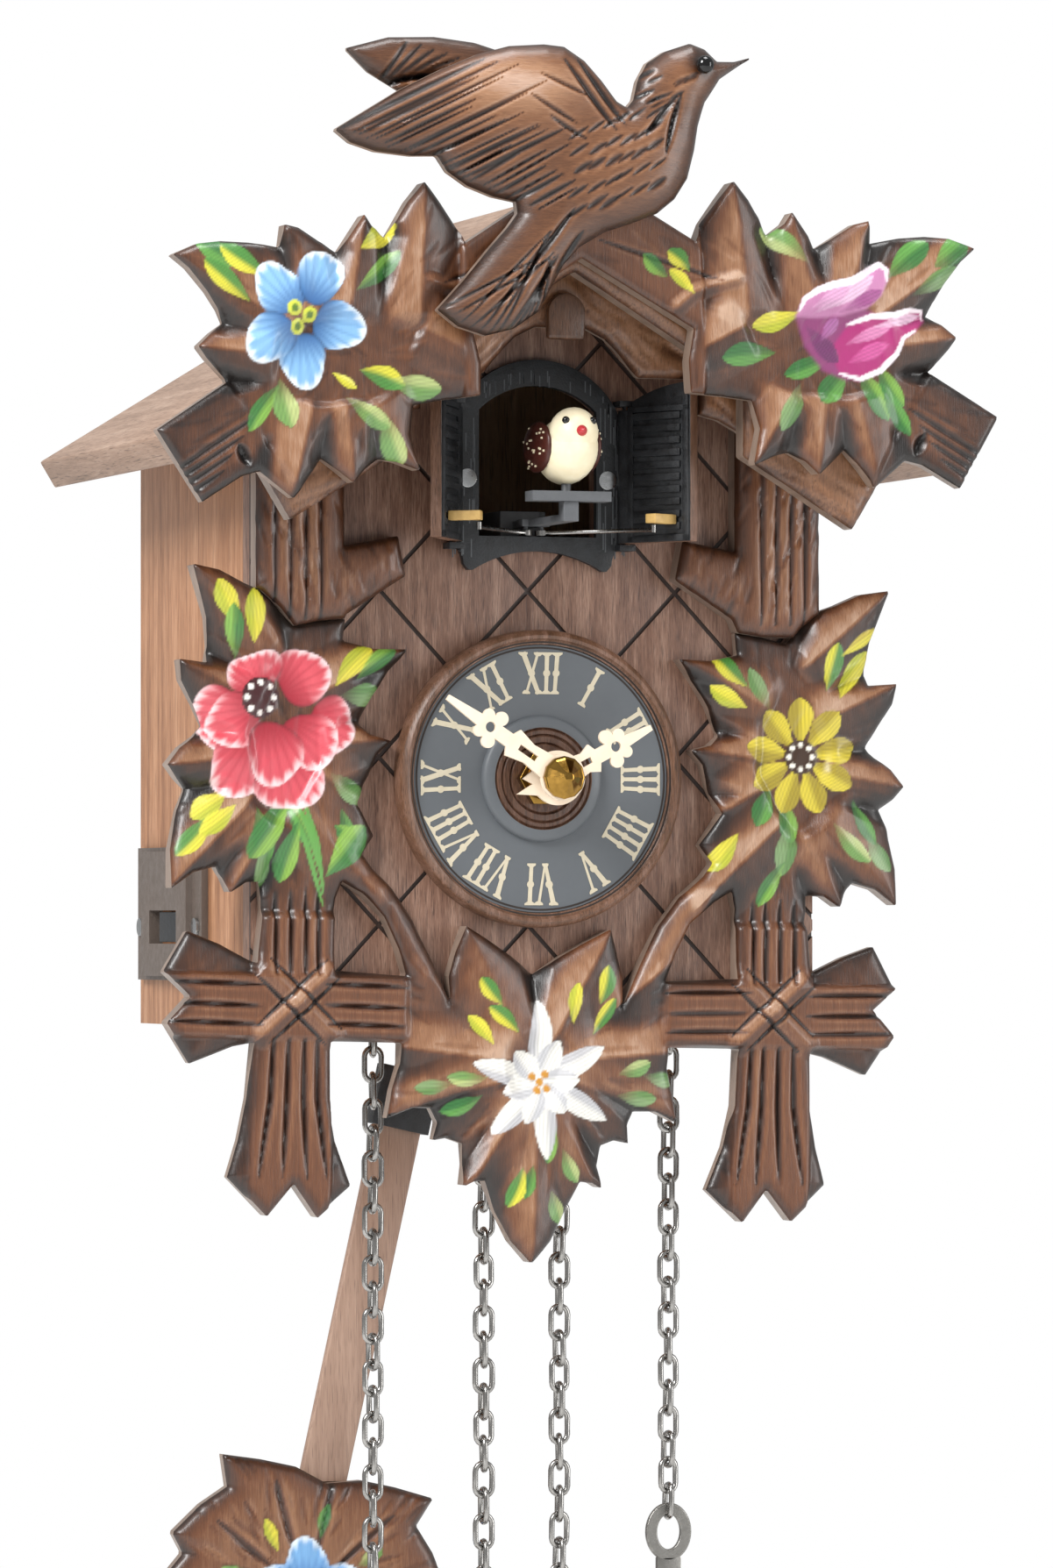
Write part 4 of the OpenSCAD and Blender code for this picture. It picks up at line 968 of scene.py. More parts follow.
# a blue flower on the left
spray(crown, (-57, 85), [(-71.5, 96.5), (-67, 95.3), (-70.5, 91.3), (-41, 100.5), (-41, 94),
                         (-63, 68), (-59, 69), (-40, 74), (-33.5, 73), (-43, 67.5), (-38, 62.5)],
      10.5, 4.3, 5)
crown.dab((-50, 75), (-45, 72), 2.0, "#d8d23a", "#e8e06a")
for x, z in ((-60.5, 90), (-52.5, 92.5), (-48.7, 83.5), (-55.5, 77), (-62, 81)):
    crown.petal((x, z), (x + 56.3, z - 85), (5.3, 4.5), "#86b9e6", "#35669f", "#edf4fa")
stamens = [(-57.6, 86.6), (-54.6, 85.4), (-56.8, 83.2)]
crown.dots(stamens, 1.5, "#c9cf45")
crown.dots(stamens, 0.75, "#5d7a2c")
# a pink bud of two petals on the right: a dark cup, the far petal, the near petal, strokes and rims
spray(crown, (54, 86), [(40, 101), (74, 100.5), (65.5, 99), (71, 95), (33, 80), (38.5, 87),
                        (45, 78.5), (50, 75), (41.5, 70.5), (58.5, 73), (62, 75), (63, 70.5)],
      10.5, 4.3, 6)
spray(crown, (26, 90), [(14, 96.5), (18.5, 97.5), (19, 93.5)], 7.0, 3.2, 7)
crown.paint(linear("#8a3d70"), region(crown.p, [
    (42.4, 88), (47, 90), (57, 89), (62, 86), (61.5, 81), (58, 77), (52.5, 75.8), (48, 77.5),
    (44.3, 82)], 0.6) * 0.96, 0.08)
crown.paint(linear("#c27fac"), region(crown.p, [
    (42.4, 87.5), (43.5, 90.9), (45.8, 92.6), (49.3, 93.9), (53.2, 94.6), (56.4, 96.2),
    (59.3, 98.2), (61.2, 97.2), (61, 94.9), (59.5, 92), (56.5, 89.4), (52, 88), (47, 87.5)],
    0.45) * 0.95, 0.08)
crown.paint(linear("#a82c70"), region(crown.p, [
    (49.5, 81.5), (53, 86), (57.8, 87.9), (62.2, 88.2), (65.5, 89.3), (68.4, 89.4), (69, 87.5),
    (66.5, 85.2), (63.8, 83.5), (62.6, 80.5), (60, 77.5), (55.4, 75.6), (51.5, 76.8)],
    0.45) * 0.95, 0.08)
strokes = [((46, 88.3), (58, 95.6), 3.4, "#e3bdd8"), ((45, 89), (53, 93.5), 2.6, "#d9a3c8"),
           ((51, 88.5), (59.8, 93), 2.6, "#9d4f88"), ((44.5, 86), (51, 79), 3.6, "#6c3462"),
           ((52.5, 82.5), (61.5, 86.3), 2.4, "#d987b6"), ((53, 79), (61, 82.8), 3.0, "#cf5c9c"),
           ((57.5, 85.8), (67.8, 88.4), 1.9, "#e9c3dc"), ((47.5, 83), (51, 87.6), 2.4, "#a8679c")]
for base, tip, wide, shade in strokes:
    crown.dab(base, tip, wide, shade, faint=0.55)
rims = [([(42.9, 88.6), (43.9, 91), (46.5, 92.7), (50, 93.9), (53.4, 94.6), (56.6, 96.4),
          (59.4, 98), (60.9, 97), (60.8, 94.8)], 1.5),
        ([(53, 86.3), (57.6, 88), (62, 88.3), (65.4, 89.3), (68.2, 89.3), (68.7, 87.6)], 1.3),
        ([(66.8, 85.6), (64, 84), (62.8, 81), (60, 77.8), (55.6, 76), (51.5, 77)], 1.2)]
for path, wide in rims:
    crown.line(path, wide, "#f6eaf1")
crown.finish("case", carved_wood, "carved_wood")

# ---------------------------------------------------------------- lower carving
lower = Carving("lower_carving", GRID)
u = lower.turned_by(-LOWER_TURN, 0.0)
# the painted light's direction is mirrored for the left half, like the leaves
lower.rubbed[:, 0] *= np.sign(u[:, 0])
u[:, 0] = np.abs(u[:, 0])
cover_with(lower, u, 2.7, 1.3, [
    ([(52, 22), (70, 38)], 1.4), ([(55, 12), (72, 20)], 1.2), ([(57, 3), (74, 0.5)], 1.2),
    ([(57, -4), (73, -22)], 1.4), ([(54, -8), (61, -22.5)], 1.2), ([(50, -6), (36, -20)], 1.3),
    ([(36, -20), (28, -34), (18, -42)], 1.1), ([(47, 14), (28, 24)], 1.2),
    ([(45, 5), (31, 6.5)], 1.1), ([(46, 0), (36, -6)], 1.1), ([(0, -58), (0, -91)], 1.3),
    ([(2, -60), (12, -77)], 1.2), ([(4, -57), (24.5, -63.3)], 1.2), ([(4, -54), (27, -52)], 1.1),
    ([(2, -52), (14.6, -29)], 1.3)],
    [([(66.8, 22), (57, 18)], 2.0), ([(68, 7), (60, 7)], 1.8), ([(70.4, -4), (60, -3)], 1.8),
     ([(63.5, -19.5), (58, -12)], 1.9), ([(55.3, -21), (52, -14)], 1.7), ([(33.5, 11), (42, 9)], 1.8),
     ([(34, -2), (42, -2)], 1.6), ([(31, 20), (40, 17)], 1.7), ([(53, 30), (51, 22)], 1.6),
     ([(13.6, -74), (7, -63)], 2.0), ([(20.5, -63.4), (10, -58)], 1.8), ([(0, -37), (0, -47)], 1.8)])


def lower_heading(x, z):
    """Tool marks run out from the middle of the side leaf, or of the bottom leaf below it."""
    if z > -28:
        return math.degrees(math.atan2(z - 4, x - 50))
    return math.degrees(math.atan2(z + 55, x))


chips(lower, u, 8, 80, 7.0, lower_heading, 0.12, 0.9)
# the two log crosses: upright post, cross arms, and a crossed lashing over the joint
post = soft(u[:, 0] - 40.5, -0.5, 0.5) * soft(56.5 - u[:, 0], -0.5, 0.5) * soft(-27 - u[:, 1], -1, 1)
lower.h = lower.h * (1 - post) + 4.6 * post
lower.tone = lower.tone * (1 - post) + (0.34 + 0.22 * soft(lower.d, 0, 2.5)) * post
for x in (44, 46.5, 49.5, 52.5):
    lower.gouge(u, [(x, -22), (x, -41)], 0.9, 0.8)
    off = x - 48.3
    lower.gouge(u, [(x, -47), (48.3 + off * 1.1, -62), (48.3 + off * 1.6, -77)], 1.0, 0.9)
arms = soft(-38.5 - u[:, 1], -0.5, 0.5) * soft(u[:, 1] + 50.5, -0.5, 0.5) * soft(u[:, 0] - 26, -1, 1)
lower.h = lower.h * (1 - arms) + 5.0 * arms
lower.tone = lower.tone * (1 - arms) + (0.34 + 0.22 * soft(lower.d, 0, 2.5)) * arms
for z in (-40.5, -44.5, -48):
    for x0, x1 in ((27, 41), (56, 71.5)):
        lower.gouge(u, [(x0 - 1, z), (x1 + 2, z + 0.4)], 0.9, 0.8)
for a, b in (((41, -37), (55, -50)), ((55, -37), (41, -50))):
    lower.ridge(u, [a, b], 1.3, 2.8, 0.2, fade=0.01)
    lean = 1 if a[0] < b[0] else -1
    for off in (-1.5, 1.5):
        lower.gouge(u, [(a[0] + off, a[1] + off * lean), (b[0] + off, b[1] + off * lean)], 0.7, 0.55,
                    -0.6)
# a red rose on the left leaf
spray(lower, (-54, 8), [(-63, 33), (-57.5, 30.5), (-61.5, 27.5), (-38, 21), (-33.5, 21.5),
                        (-36.5, 16), (-39, -2), (-39, -10), (-56, -11), (-56, -16), (-49, -9),
                        (-66.5, -5.5), (-69.5, -11), (-65, -8)], 9.8, 4.0, 11)
for a, b in (((-53, -1), (-43.5, -24.5)), ((-50.5, -3), (-45, -17)), ((-49, -2), (-43.6, -22))):
    lower.line([a, ((a[0] + b[0]) / 2 + 0.8, (a[1] + b[1]) / 2), b], 1.1, "#5d9a45")
for a, b, w in (((-50, -3), (-59, -15.5), 5.4), ((-49, -8), (-52.5, -20), 4.6),
                ((-42, -9), (-36, -14), 5.6), ((-43.5, -19), (-35.5, -9), 6.0)):
    lower.dab(a, b, w, "#3c7a3a", "#8ab64a", mid=1.5)
for x, z, a, b in ((-64, 11, 5.0, 6.5), (-48, 19.0, 5.2, 5.6), (-60.5, 2.0, 6.2, 6.2),
                   (-42.5, 9.5, 4.6, 6.0), (-50.5, -0.5, 5.8, 7.0), (-57.5, 19.5, 4.0, 6.0),
                   (-61.5, 10.5, 5.2, 5.4), (-46.5, 7.0, 5.6, 5.2), (-53.5, 4.5, 6.2, 5.6)):
    lower.petal((x, z), (x + 55.0, z - 14.0), (a, b), "#d5525f", "#a01f31", "#f4d6d8")
lower.dots([(-56.5, 15.0)], 3.9, "#3c0e14")
lower.dots(ring(2.9, 8, (-56.5, 15.0)), 0.62, "#f5f0ea")
# a yellow daisy on the right leaf
spray(lower, (53, 4.5), [(59.3, 22), (64, 20.5), (38.5, 21.5), (44.5, 17.5), (38, 16), (45, -5),
                         (50, -8), (50, -13), (47, -20), (37, -14), (66, -8), (63, -12), (69, -14)],
      9.8, 4.0, 12)
lower.dab((61, 24), (69, 29.5), 2.6, "#e2d63e", "#c9b52f")
for k in range(9):
    a = math.radians(10 + 40 * k)
    lower.dab((53 + 2.0 * math.cos(a), 4.5 + 2.0 * math.sin(a)),
              (53 + 11.6 * math.cos(a), 4.5 + 11.6 * math.sin(a)), 5.2, "#d9c63c", "#a8952c",
              mid=1.5, side=0.0)
lower.dots([(53, 4.5)], 3.4, "#3a2312")
lower.dots(ring(2.4, 8, (53, 4.5)), 0.55, "#f5f0e2")
# a white edelweiss on the bottom leaf
spray(lower, (0, -58), [(-10.5, -40.5), (-8, -46), (-12.5, -48), (12.5, -39.5), (6.5, -43),
                        (12.5, -45.5), (-15.5, -57), (-22, -58.5), (-16.5, -62), (18.5, -55.5),
                        (24, -57.5), (19, -61), (-3, -77), (1.5, -70), (5.5, -74), (3, -82),
                        (-5.5, -78)], 7.5, 3.2, 13)
for tip in ((-0.5, -42.3), (12.3, -51.3), (13, -65.5), (0.5, -73), (-10.5, -68), (-14.5, -54.2),
            (3.2, -50), (7, -57.5), (4, -64), (-4, -66), (-8.5, -60), (-5.5, -52)):
    lower.dab((-0.5, -58), tip, 4.6, "#f3f1ea", "#c4c4c8", mid=1.05, side=0.2)
lower.dots([(-0.5, -58), (-2, -57), (0.6, -56.6), (-1.2, -59.6), (0.8, -59.3)], 0.8, "#c58a2e")
lower.finish("case", carved_wood, "carved_wood")

# ---------------------------------------------------------------- bird on the crown
EYE = (20.3, 133.6)                              # middle of the bead eye, x and z
bird = Carving("bird_carving", 0.36)
p = bird.p
bird.h = 3.2 + 2.6 * (1 - np.exp(-bird.d / 3.5))
bird.tone = 0.12 + 0.34 * (1 - np.exp(-bird.d / 1.6))
bird.dome(p, (-18, 128), (24, 11), 1.0, 0.22)
bird.dome(p, (5, 115), (13, 13), 1.0, 0.10)
bird.dome(p, (18, 132), (9, 8), 0.9, 0.16)
# feathers of the near wing, long then short, and the carver's cuts round the wing and the tail
rng = random.Random(14)
for k in range(17):
    t = k / 16
    x0, z0 = -49 + 22 * t + rng.uniform(-1, 1), 119.6 - 8.5 * t + rng.uniform(-0.4, 0.4)
    run = rng.uniform(17, 33) * (1 - 0.35 * t)
    bird.gouge(p, [(x0, z0), (x0 + run, z0 + run * 0.50)], 0.6, rng.uniform(0.35, 0.75), -0.45)
for k in range(9):
    t = k / 8
    x0, z0 = -27 + 15 * t + rng.uniform(-1, 1), 111.5 - 6.0 * t
    run = rng.uniform(9, 18) * (1 - 0.3 * t)
    bird.gouge(p, [(x0, z0), (x0 + run, z0 + run * 0.58)], 0.6, rng.uniform(0.35, 0.7), -0.45)
for a, b in (((-12, 131), (-2, 127)), ((-14, 127), (-5, 122)), ((-10, 123), (-3, 119))):
    bird.gouge(p, [a, b], 0.7, 0.6, -0.4)
for a, b in (((-7, 134), (3, 121)), ((-4, 134), (5, 122)), ((15.5, 128), (9, 120)),
             ((16, 128), (13, 117)), ((-5, 106), (-14, 94)), ((-3, 102), (-8, 94))):
    bird.gouge(p, [a, b], 1.0, 0.9, -0.5)
for k in range(12):
    t = k / 11
    tip = (-30 + 19.5 * t, 87 - 4.5 * math.sin(math.pi * t) - 0.3 * t)
    bird.gouge(p, [(-11 + 3 * t + rng.uniform(-2, 2), 99 + rng.uniform(-4, 3)), tip], 0.6,
               rng.uniform(0.35, 0.65), -0.45)
# short nicks over the breast and the head
rng = random.Random(4)
for row in range(6):
    for k in range(5):
        x = -4 + row * 3.0 + rng.uniform(-0.6, 0.6)
        z = 106 + k * 3.6 + row * 0.9 + rng.uniform(-0.6, 0.6)
        bird.gouge(p, [(x - 1.9, z - 1.2), (x + 1.7, z + 1.3)], 0.5, rng.uniform(0.4, 0.9), -0.4)
for k in range(16):
    x, z = rng.uniform(9, 18), rng.uniform(126, 137)
    bird.gouge(p, [(x - 1.4, z - 0.6), (x + 1.4, z + 0.9)], 0.35, 0.5, -0.3)
# stain rubbed off the shoulder of the wing together with a painted highlight, and a hollow round the
# eye, painted darker
rubbed = np.exp(-((p[:, 0] + 16) / 10) ** 2 - ((p[:, 1] - 129.5) / 4) ** 2)
bird.tone += 0.30 * rubbed
eye = np.hypot(p[:, 0] - EYE[0], p[:, 1] - EYE[1] - 0.3)
bird.tone -= 0.5 * np.exp(-(eye / 2.4) ** 2)
bird.h -= 0.5 * np.exp(-(eye / 2.2) ** 2)
bird.finish("case", bird_wood, "bird_wood", lip=1.3, reach=0.8)

far = Carving("bird_far_wing", 0.45)
far.h = 1.8 + 1.4 * (1 - np.exp(-far.d / 2.5))
far.tone = 0.15 + 0.35 * (1 - np.exp(-far.d / 2.0))
low, high = far.p.min(0), far.p.max(0)
for k in range(9):
    t = k / 8
    start = (low[0] + 4 + 5 * t, low[1] + 2 + 4 * t)
    end = (low[0] + (high[0] - low[0]) * (0.35 + 0.6 * t), high[1] - 1 - 6 * t)
    far.gouge(far.p, [start, end], 0.7, 0.7, -0.4)
far.finish("case", bird_wood, "dark_wood", lip=1.0)
verts, faces = turned(half_circle(1.75, 12, 0.95), 24, (EYE[0], FACE - 39.0, EYE[1]))
mesh_piece("bird_eye_bead", verts, faces, "case", glass_bead, ["bird_eye"],
           slot="black_plastic", weld=0.01)

# ---------------------------------------------------------------- corner posts and gable boards
posts = Carving("corner_posts", 0.5)
u = np.abs(posts.p)
posts.h = 4.4 + 1.4 * (1 - np.exp(-posts.d / 3.0))
posts.tone = 0.15 + 0.35 * (1 - np.exp(-posts.d / 2.0))
u[:, 1] = posts.p[:, 1]
chips(posts, u, 5, 90, 5.0, lambda x, z: 75)
for x in (44.5, 47.5, 50.5, 53.5):
    posts.gouge(u, [(x, 30), (x + 0.3, 66)], 0.8, 0.8)
posts.tone += 0.15
posts.finish("case", carved_wood, "case_wood")

for name, base, seed in (("bargeboards", 4.6, 21), ("gable_valance", 2.3, 22)):
    gable = Carving(name, 0.6)
    gable.h = base + 0.9 * (1 - np.exp(-gable.d / 1.5))
    gable.tone = 0.20 + 0.45 * (1 - np.exp(-gable.d / 1.6))
    u = gable.p.copy()
    u[:, 0] = np.abs(u[:, 0])
    if name == "bargeboards":
        along = u[:, 1] + 0.61 * u[:, 0]
        groove = np.exp(-((along - 99.5) / 0.6) ** 2) * (u[:, 0] < 60)
        gable.h -= 0.9 * groove
        gable.tone -= 0.35 * groove
    chips(gable, u, seed, 120, 8.0, lambda x, z: -31)
    gable.finish("case", board_wood, "case_wood", lip=0.7)
from_cad("valance_drop", "case", peg_wood, 0.8)

# ---------------------------------------------------------------- dial
CARD_T = 3.4                                     # the card stands this far off the front board
card = plate([ring(RIM - 2.85, 96)], CARD_T, 0.1, lambda a, b, c: (a, FACE - c, b))
mesh_piece("dial_card_disc", *card, "case", dial_grey, ["dial_disc"], slot="dial_card", sharp=30)
hole = RIM - 2.78
profile = [(hole, 0.0), (RIM, 0.0), (RIM, 3.6), (RIM - 0.3, 4.5), (RIM - 1.1, 5.0), (RIM - 1.7, 4.8),
           (RIM - 2.0, 4.2), (RIM - 2.4, 3.9), (hole, 3.7)]
verts, faces = turned(profile + [profile[0]], 128, (0, FACE, 0))
mesh_piece("dial_wood_ring", verts, faces, "case", ring_wood, ["dial_ring"], slot="case_wood",
           weld=0.005, sharp=40)
for r, w, h in ((24.9, 0.35, 3.46), (26.0, 0.5, 4.05)):
    verts, faces = turned([(r, h - 0.4), (r + w, h - 0.4), (r + w, h), (r, h), (r, h - 0.4)], 128,
                          (0, FACE, 0))
    mesh_piece("dial_line_%.0f" % (r * 10), verts, faces, "case", ring_line, slot="dial_card",
               weld=0.002, sharp=30)
steps = [(0, 5.2), (5.9, 5.2), (6.4, 5.2), (6.7, 4.75), (7.0, 5.2), (8.0, 5.15), (8.3, 4.7),
         (8.6, 5.1), (9.2, 5.05), (9.5, 4.6), (9.8, 5.0), (11.4, 4.85), (11.9, 4.4), (12.1, 3.9),
         (12.1, 3.4), (0, 3.4)]
verts, faces = turned(steps, 96, (0, FACE, 0))
mesh_piece("dial_boss_turned", verts, faces, "case", boss_wood, ["dial_boss"], slot="front_wood",
           weld=0.005, sharp=50)
boss = bpy.data.objects["dial_boss_turned"].data
boss.materials.append(dial_grey)
for face in boss.polygons:
    out = math.hypot(face.center.x, face.center.z + DIAL_DROP / 1000)
    face.material_index = 1 if out > 0.00965 else 0    # its outer step is painted with the card


def stroke(u0, v0, u1, v1, w0, w1):
    """A straight bar of a numeral from one point to another."""
    d = np.array([u1 - u0, v1 - v0])
    d = d / math.hypot(*d)
    n = np.array([-d[1], d[0]])
    return [(u0 + n[0] * w0 / 2, v0 + n[1] * w0 / 2), (u0 - n[0] * w0 / 2, v0 - n[1] * w0 / 2),
            (u1 - n[0] * w1 / 2, v1 - n[1] * w1 / 2), (u1 + n[0] * w1 / 2, v1 + n[1] * w1 / 2)]


LETTER_H = 8.0
LETTER_W = {"I": 1.2, "V": 3.5, "X": 3.5}
LETTER_GAP = 0.72
NUMERAL_R = 20.2                                 # radius of the middle of the numerals


def letter(kind, left):
    """The bars, dot and serifs of one Roman letter, its left edge at left."""
    low, high = -LETTER_H / 2, LETTER_H / 2
    m = left + (0.6 if kind == "I" else LETTER_W[kind] / 2)
    serifs = {"I": [(m, 0.95)], "V": [(m - 1.4, 0.85), (m + 1.4, 0.8)]}
    serifs["X"] = serifs["V"]
    foot = {"I": [(m, 0.95)], "V": [(m, 0.7)], "X": serifs["X"]}
    bars = {"I": [stroke(m, low, m, high, 0.8, 0.8), ring(0.72, 12, (m, 0))],
            "V": [stroke(m - 1.4, high, m, low, 0.95, 0.7), stroke(m + 1.4, high, m, low, 0.5, 0.45),
                  ring(0.75, 12, (m - 0.7, 0))],
            "X": [stroke(m - 1.4, high, m + 1.4, low, 0.95, 0.95),
                  stroke(m + 1.4, high, m - 1.4, low, 0.5, 0.5), ring(0.72, 12, (m, 0))]}[kind]
    for v, s, ends in ((high, 1, serifs[kind]), (low, -1, foot[kind])):
        for at, half in ends:
            bars.append([(at - half, v), (at + half, v), (at + half, v - s * 0.35),
                         (at + 0.35, v - s * 0.75), (at - 0.35, v - s * 0.75),
                         (at - half, v - s * 0.35)])
    return bars


def on_dial(bar, angle, lift):
    """A flat bar of a numeral, fanned out along the dial, turned to its hour and made solid."""
    fanned = [(u * ((NUMERAL_R + v) / NUMERAL_R) ** 0.5, NUMERAL_R + v) for u, v in bar]
    c, s = math.cos(angle), math.sin(angle)
    spun = [(u * c - v * s, u * s + v * c) for u, v in fanned]
    n = len(spun)
    verts = [(u, FACE - 3.3, v) for u, v in spun] + [(u, FACE - lift, v) for u, v in spun]
    faces = [tuple(range(n)), tuple(range(n, 2 * n))]
    faces += [(i, (i + 1) % n, n + (i + 1) % n, n + i) for i in range(n)]
    return verts, faces


parts = []
for hour, text in enumerate("XII I II III IIII V VI VII VIII IX X XI".split()):
    at = -(sum(LETTER_W[ch] for ch in text) + LETTER_GAP * (len(text) - 1)) / 2
    for ch in text:
        # each bar is a hair higher than the last, so that no two faces lie in one plane
        for level, bar in enumerate(letter(ch, at)):
            parts.append(on_dial(bar, -math.radians(30 * hour), 3.46 + 0.012 * level))
        at += LETTER_W[ch] + LETTER_GAP
verts, faces = join(parts)
mesh_piece("roman_numerals", verts, faces, "case", numeral_ink, slot="dial_card", smooth=False)

from_cad("hour_hand", "hour", cream_plastic, 0.22)
from_cad("minute_hand", "minute", cream_plastic, 0.22)
from_cad("clamp_nut", "case", brass, 0.2)
cone = [(0.0, 0.0), (4.1, 0.0), (4.1, 0.8), (3.9, 1.0), (3.7, 1.05), (3.3, 1.35), (2.2, 2.5),
        (1.3, 3.3), (0.9, 3.7), (0.0, 3.98)]
verts, faces = turned(cone, 12, (0, FACE - 16.4, 0))
mesh_piece("hand_nut_turned", verts, faces, "minute", brass, ["hand_nut"], slot="brass", weld=0.01,
           sharp=18)
from_cad("minute_shaft", "minute", brass, 0.1)
from_cad("hour_tube", "hour", brass, 0.1)

# ---------------------------------------------------------------- cuckoo door
from_cad("door_frame", "case", black_plastic, 0.22)
# brush streaks rubbed grey over the frame's face
rng = random.Random(9)
parts = []
for s in (-1, 1):
    for k in range(34):
        x = s * rng.uniform(12.3, 17.9)
        z = rng.uniform(42, 74)
        top = min(z + rng.uniform(3, 9), 62 + math.sqrt(max(0, 17.6 ** 2 - x * x)))
        if top > z + 1:
            parts.append(block((x - 0.12, FACE - 1.63, z), (x + 0.12, FACE - 1.4, top)))
for k in range(22):
    x = rng.uniform(-11, 11)
    z = 76.3 + rng.uniform(-0.3, 1.0) - 0.02 * x * x
    parts.append(block((x - 0.12, FACE - 1.63, z - 1.2), (x + 0.12, FACE - 1.4, z + 1.0)))
verts, faces = join(parts)
mesh_piece("door_frame_streaks", verts, faces, "case", edge_plastic, slot="black_plastic",
           smooth=False)


HINGE_X = 17.2                                   # the hinge pins
HINGE_Y = FACE - 3.3
DOOR_OPEN = math.radians(120)
LOUVRE_BACK = FACE - 2.6                         # louvres run from here to just inside the leaf's face
LOUVRES = 10


def on_door(side, points):
    """Turns points of a shut leaf (inner face towards +y) to the open rest position."""
    q = np.asarray(points, float).reshape(-1, 3).copy()
    c, s = math.cos(DOOR_OPEN), math.sin(DOOR_OPEN) * side
    x, y = q[:, 0] - side * HINGE_X, q[:, 1] - HINGE_Y
    q[:, 0], q[:, 1] = side * HINGE_X + x * c - y * s, HINGE_Y + x * s + y * c
    return q


for side, name in ((-1, "left_door"), (1, "right_door")):
    pin = Vector((side * HINGE_X / 1000, HINGE_Y / 1000, 0.0))
    faces_in = Vector(on_door(side, [(0, 1, 0)])[0] - on_door(side, [(0, 0, 0)])[0])
    leaf = from_cad(name, name, [ring_wood, black_plastic], 0.25,
                    pick=lambda normal: 1 if normal.dot(faces_in) > 0.6 else 0)
    # the panel between the louvres lies 0.6 mm below the leaf's inner face; the hinge bar stays round
    for v in leaf.data.vertices:
        depth = (v.co - pin).dot(faces_in)
        out = Vector((v.co.x, v.co.y, 0)) - pin
        if depth > 0.00105 and (out - faces_in * out.dot(faces_in)).length > 0.0016:
            v.co -= faces_in * 0.0006
    parts = []
    for k in range(LOUVRES):
        z = 47.6 + 2.35 * k
        parts.append(block((-14.6, LOUVRE_BACK, z), (-2.6, LOUVRE_BACK + 0.62, z + 1.3), 0.15))
    for x0, z0, x1, z1 in ((-15.5, 45.4, -14.2, 71.0), (-1.8, 45.4, -0.5, 74.4),
                           (-15.5, 45.4, -0.5, 46.6), (-15.5, 70.2, -0.5, 71.3)):
        parts.append(block((x0, LOUVRE_BACK, z0), (x1, LOUVRE_BACK + 0.68, z1), 0.12))
    verts, faces = join(parts)
    verts = verts.copy()
    verts[:, 0] *= -side
    mesh_piece(name + "_louvres", on_door(side, verts), faces, name, black_plastic,
               slot="black_plastic", sharp=30)
    from_cad(name.replace("door", "link_block"), name, ochre_plastic, 0.2)
    from_cad(name.replace("door", "link_wire"), name.replace("door", "wire"), chain_steel, 0.0)

# ---------------------------------------------------------------- cuckoo
BREAST = (0, FACE - 18.5, 62.0)
HEAD = (0, FACE - 22.2, 65.0)
WING = (4.9, FACE - 15.8, 62.6)                  # middle of the right wing
WING_SIZE = (1.5, 7.4, 4.9)


def egg(centre, radii, lean):
    """A smooth egg; lean tips it forward about x."""
    v, f = turned(half_circle(1, 20), 28)
    v = np.array(v) * radii
    c, s = math.cos(lean), math.sin(lean)
    v = np.column_stack([v[:, 0], v[:, 1] * c - v[:, 2] * s, v[:, 1] * s + v[:, 2] * c])
    return v + np.array(centre), f


tail = block((-2.2, FACE - 13, 61.7), (2.2, FACE - 2, 62.7), 0.35)
verts, faces = join([egg(BREAST, (5.6, 8.4, 6.4), -0.25), egg(HEAD, (4.7, 5.0, 4.9), -0.2), tail])
mesh_piece("cuckoo_body", verts, faces, "carriage", bird_plastic, ["cuckoo"], slot="bird_plastic",
           weld=0.01, sharp=50)
parts = []
for side in (-1, 1):
    v, f = turned(half_circle(1, 10), 20)
    parts.append((np.array(v) * WING_SIZE + (side * WING[0], WING[1], WING[2]), f))
verts, faces = join(parts)
mesh_piece("cuckoo_wings", verts, faces, "carriage", wing_plastic, slot="bird_plastic", weld=0.01)
verts, faces = turned([(1.25, 0), (1.0, 0.9), (0.25, 2.1), (0.0, 2.2)], 14, (0, FACE - 26.4, 65.2))
mesh_piece("cuckoo_beak", verts, faces, "carriage", red_paint, slot="bird_plastic", weld=0.01)
verts, faces = join([turned(half_circle(0.75, 8), 12, (side * 2.7, FACE - 25.6, 67.2))
                     for side in (-1, 1)])
mesh_piece("cuckoo_eyes", verts, faces, "carriage", glass_bead, slot="bird_plastic", weld=0.01)
rng = random.Random(12)
spots = []
for k in range(26):
    a, b = rng.uniform(-0.8, 0.8), rng.uniform(-0.8, 0.8)
    bulge = math.sqrt(max(0, 1 - a * a - b * b))
    if bulge > 0.3:
        for side in (-1, 1):
            spots.append(((side * (WING[0] + WING_SIZE[0] * bulge), WING[1] + WING_SIZE[1] * a,
                           WING[2] + WING_SIZE[2] * b), NO_TURN, FULL_SIZE))
fleck = block((-0.12, -0.35, -0.2), (0.12, 0.35, 0.2), 0.08)
repeat("cuckoo_wing_flecks", fleck, spots, bird_plastic, "carriage")
from_cad("perch_bar", "carriage", grey_plastic, 0.25)
from_cad("carriage", "carriage", grey_plastic, 0.1)

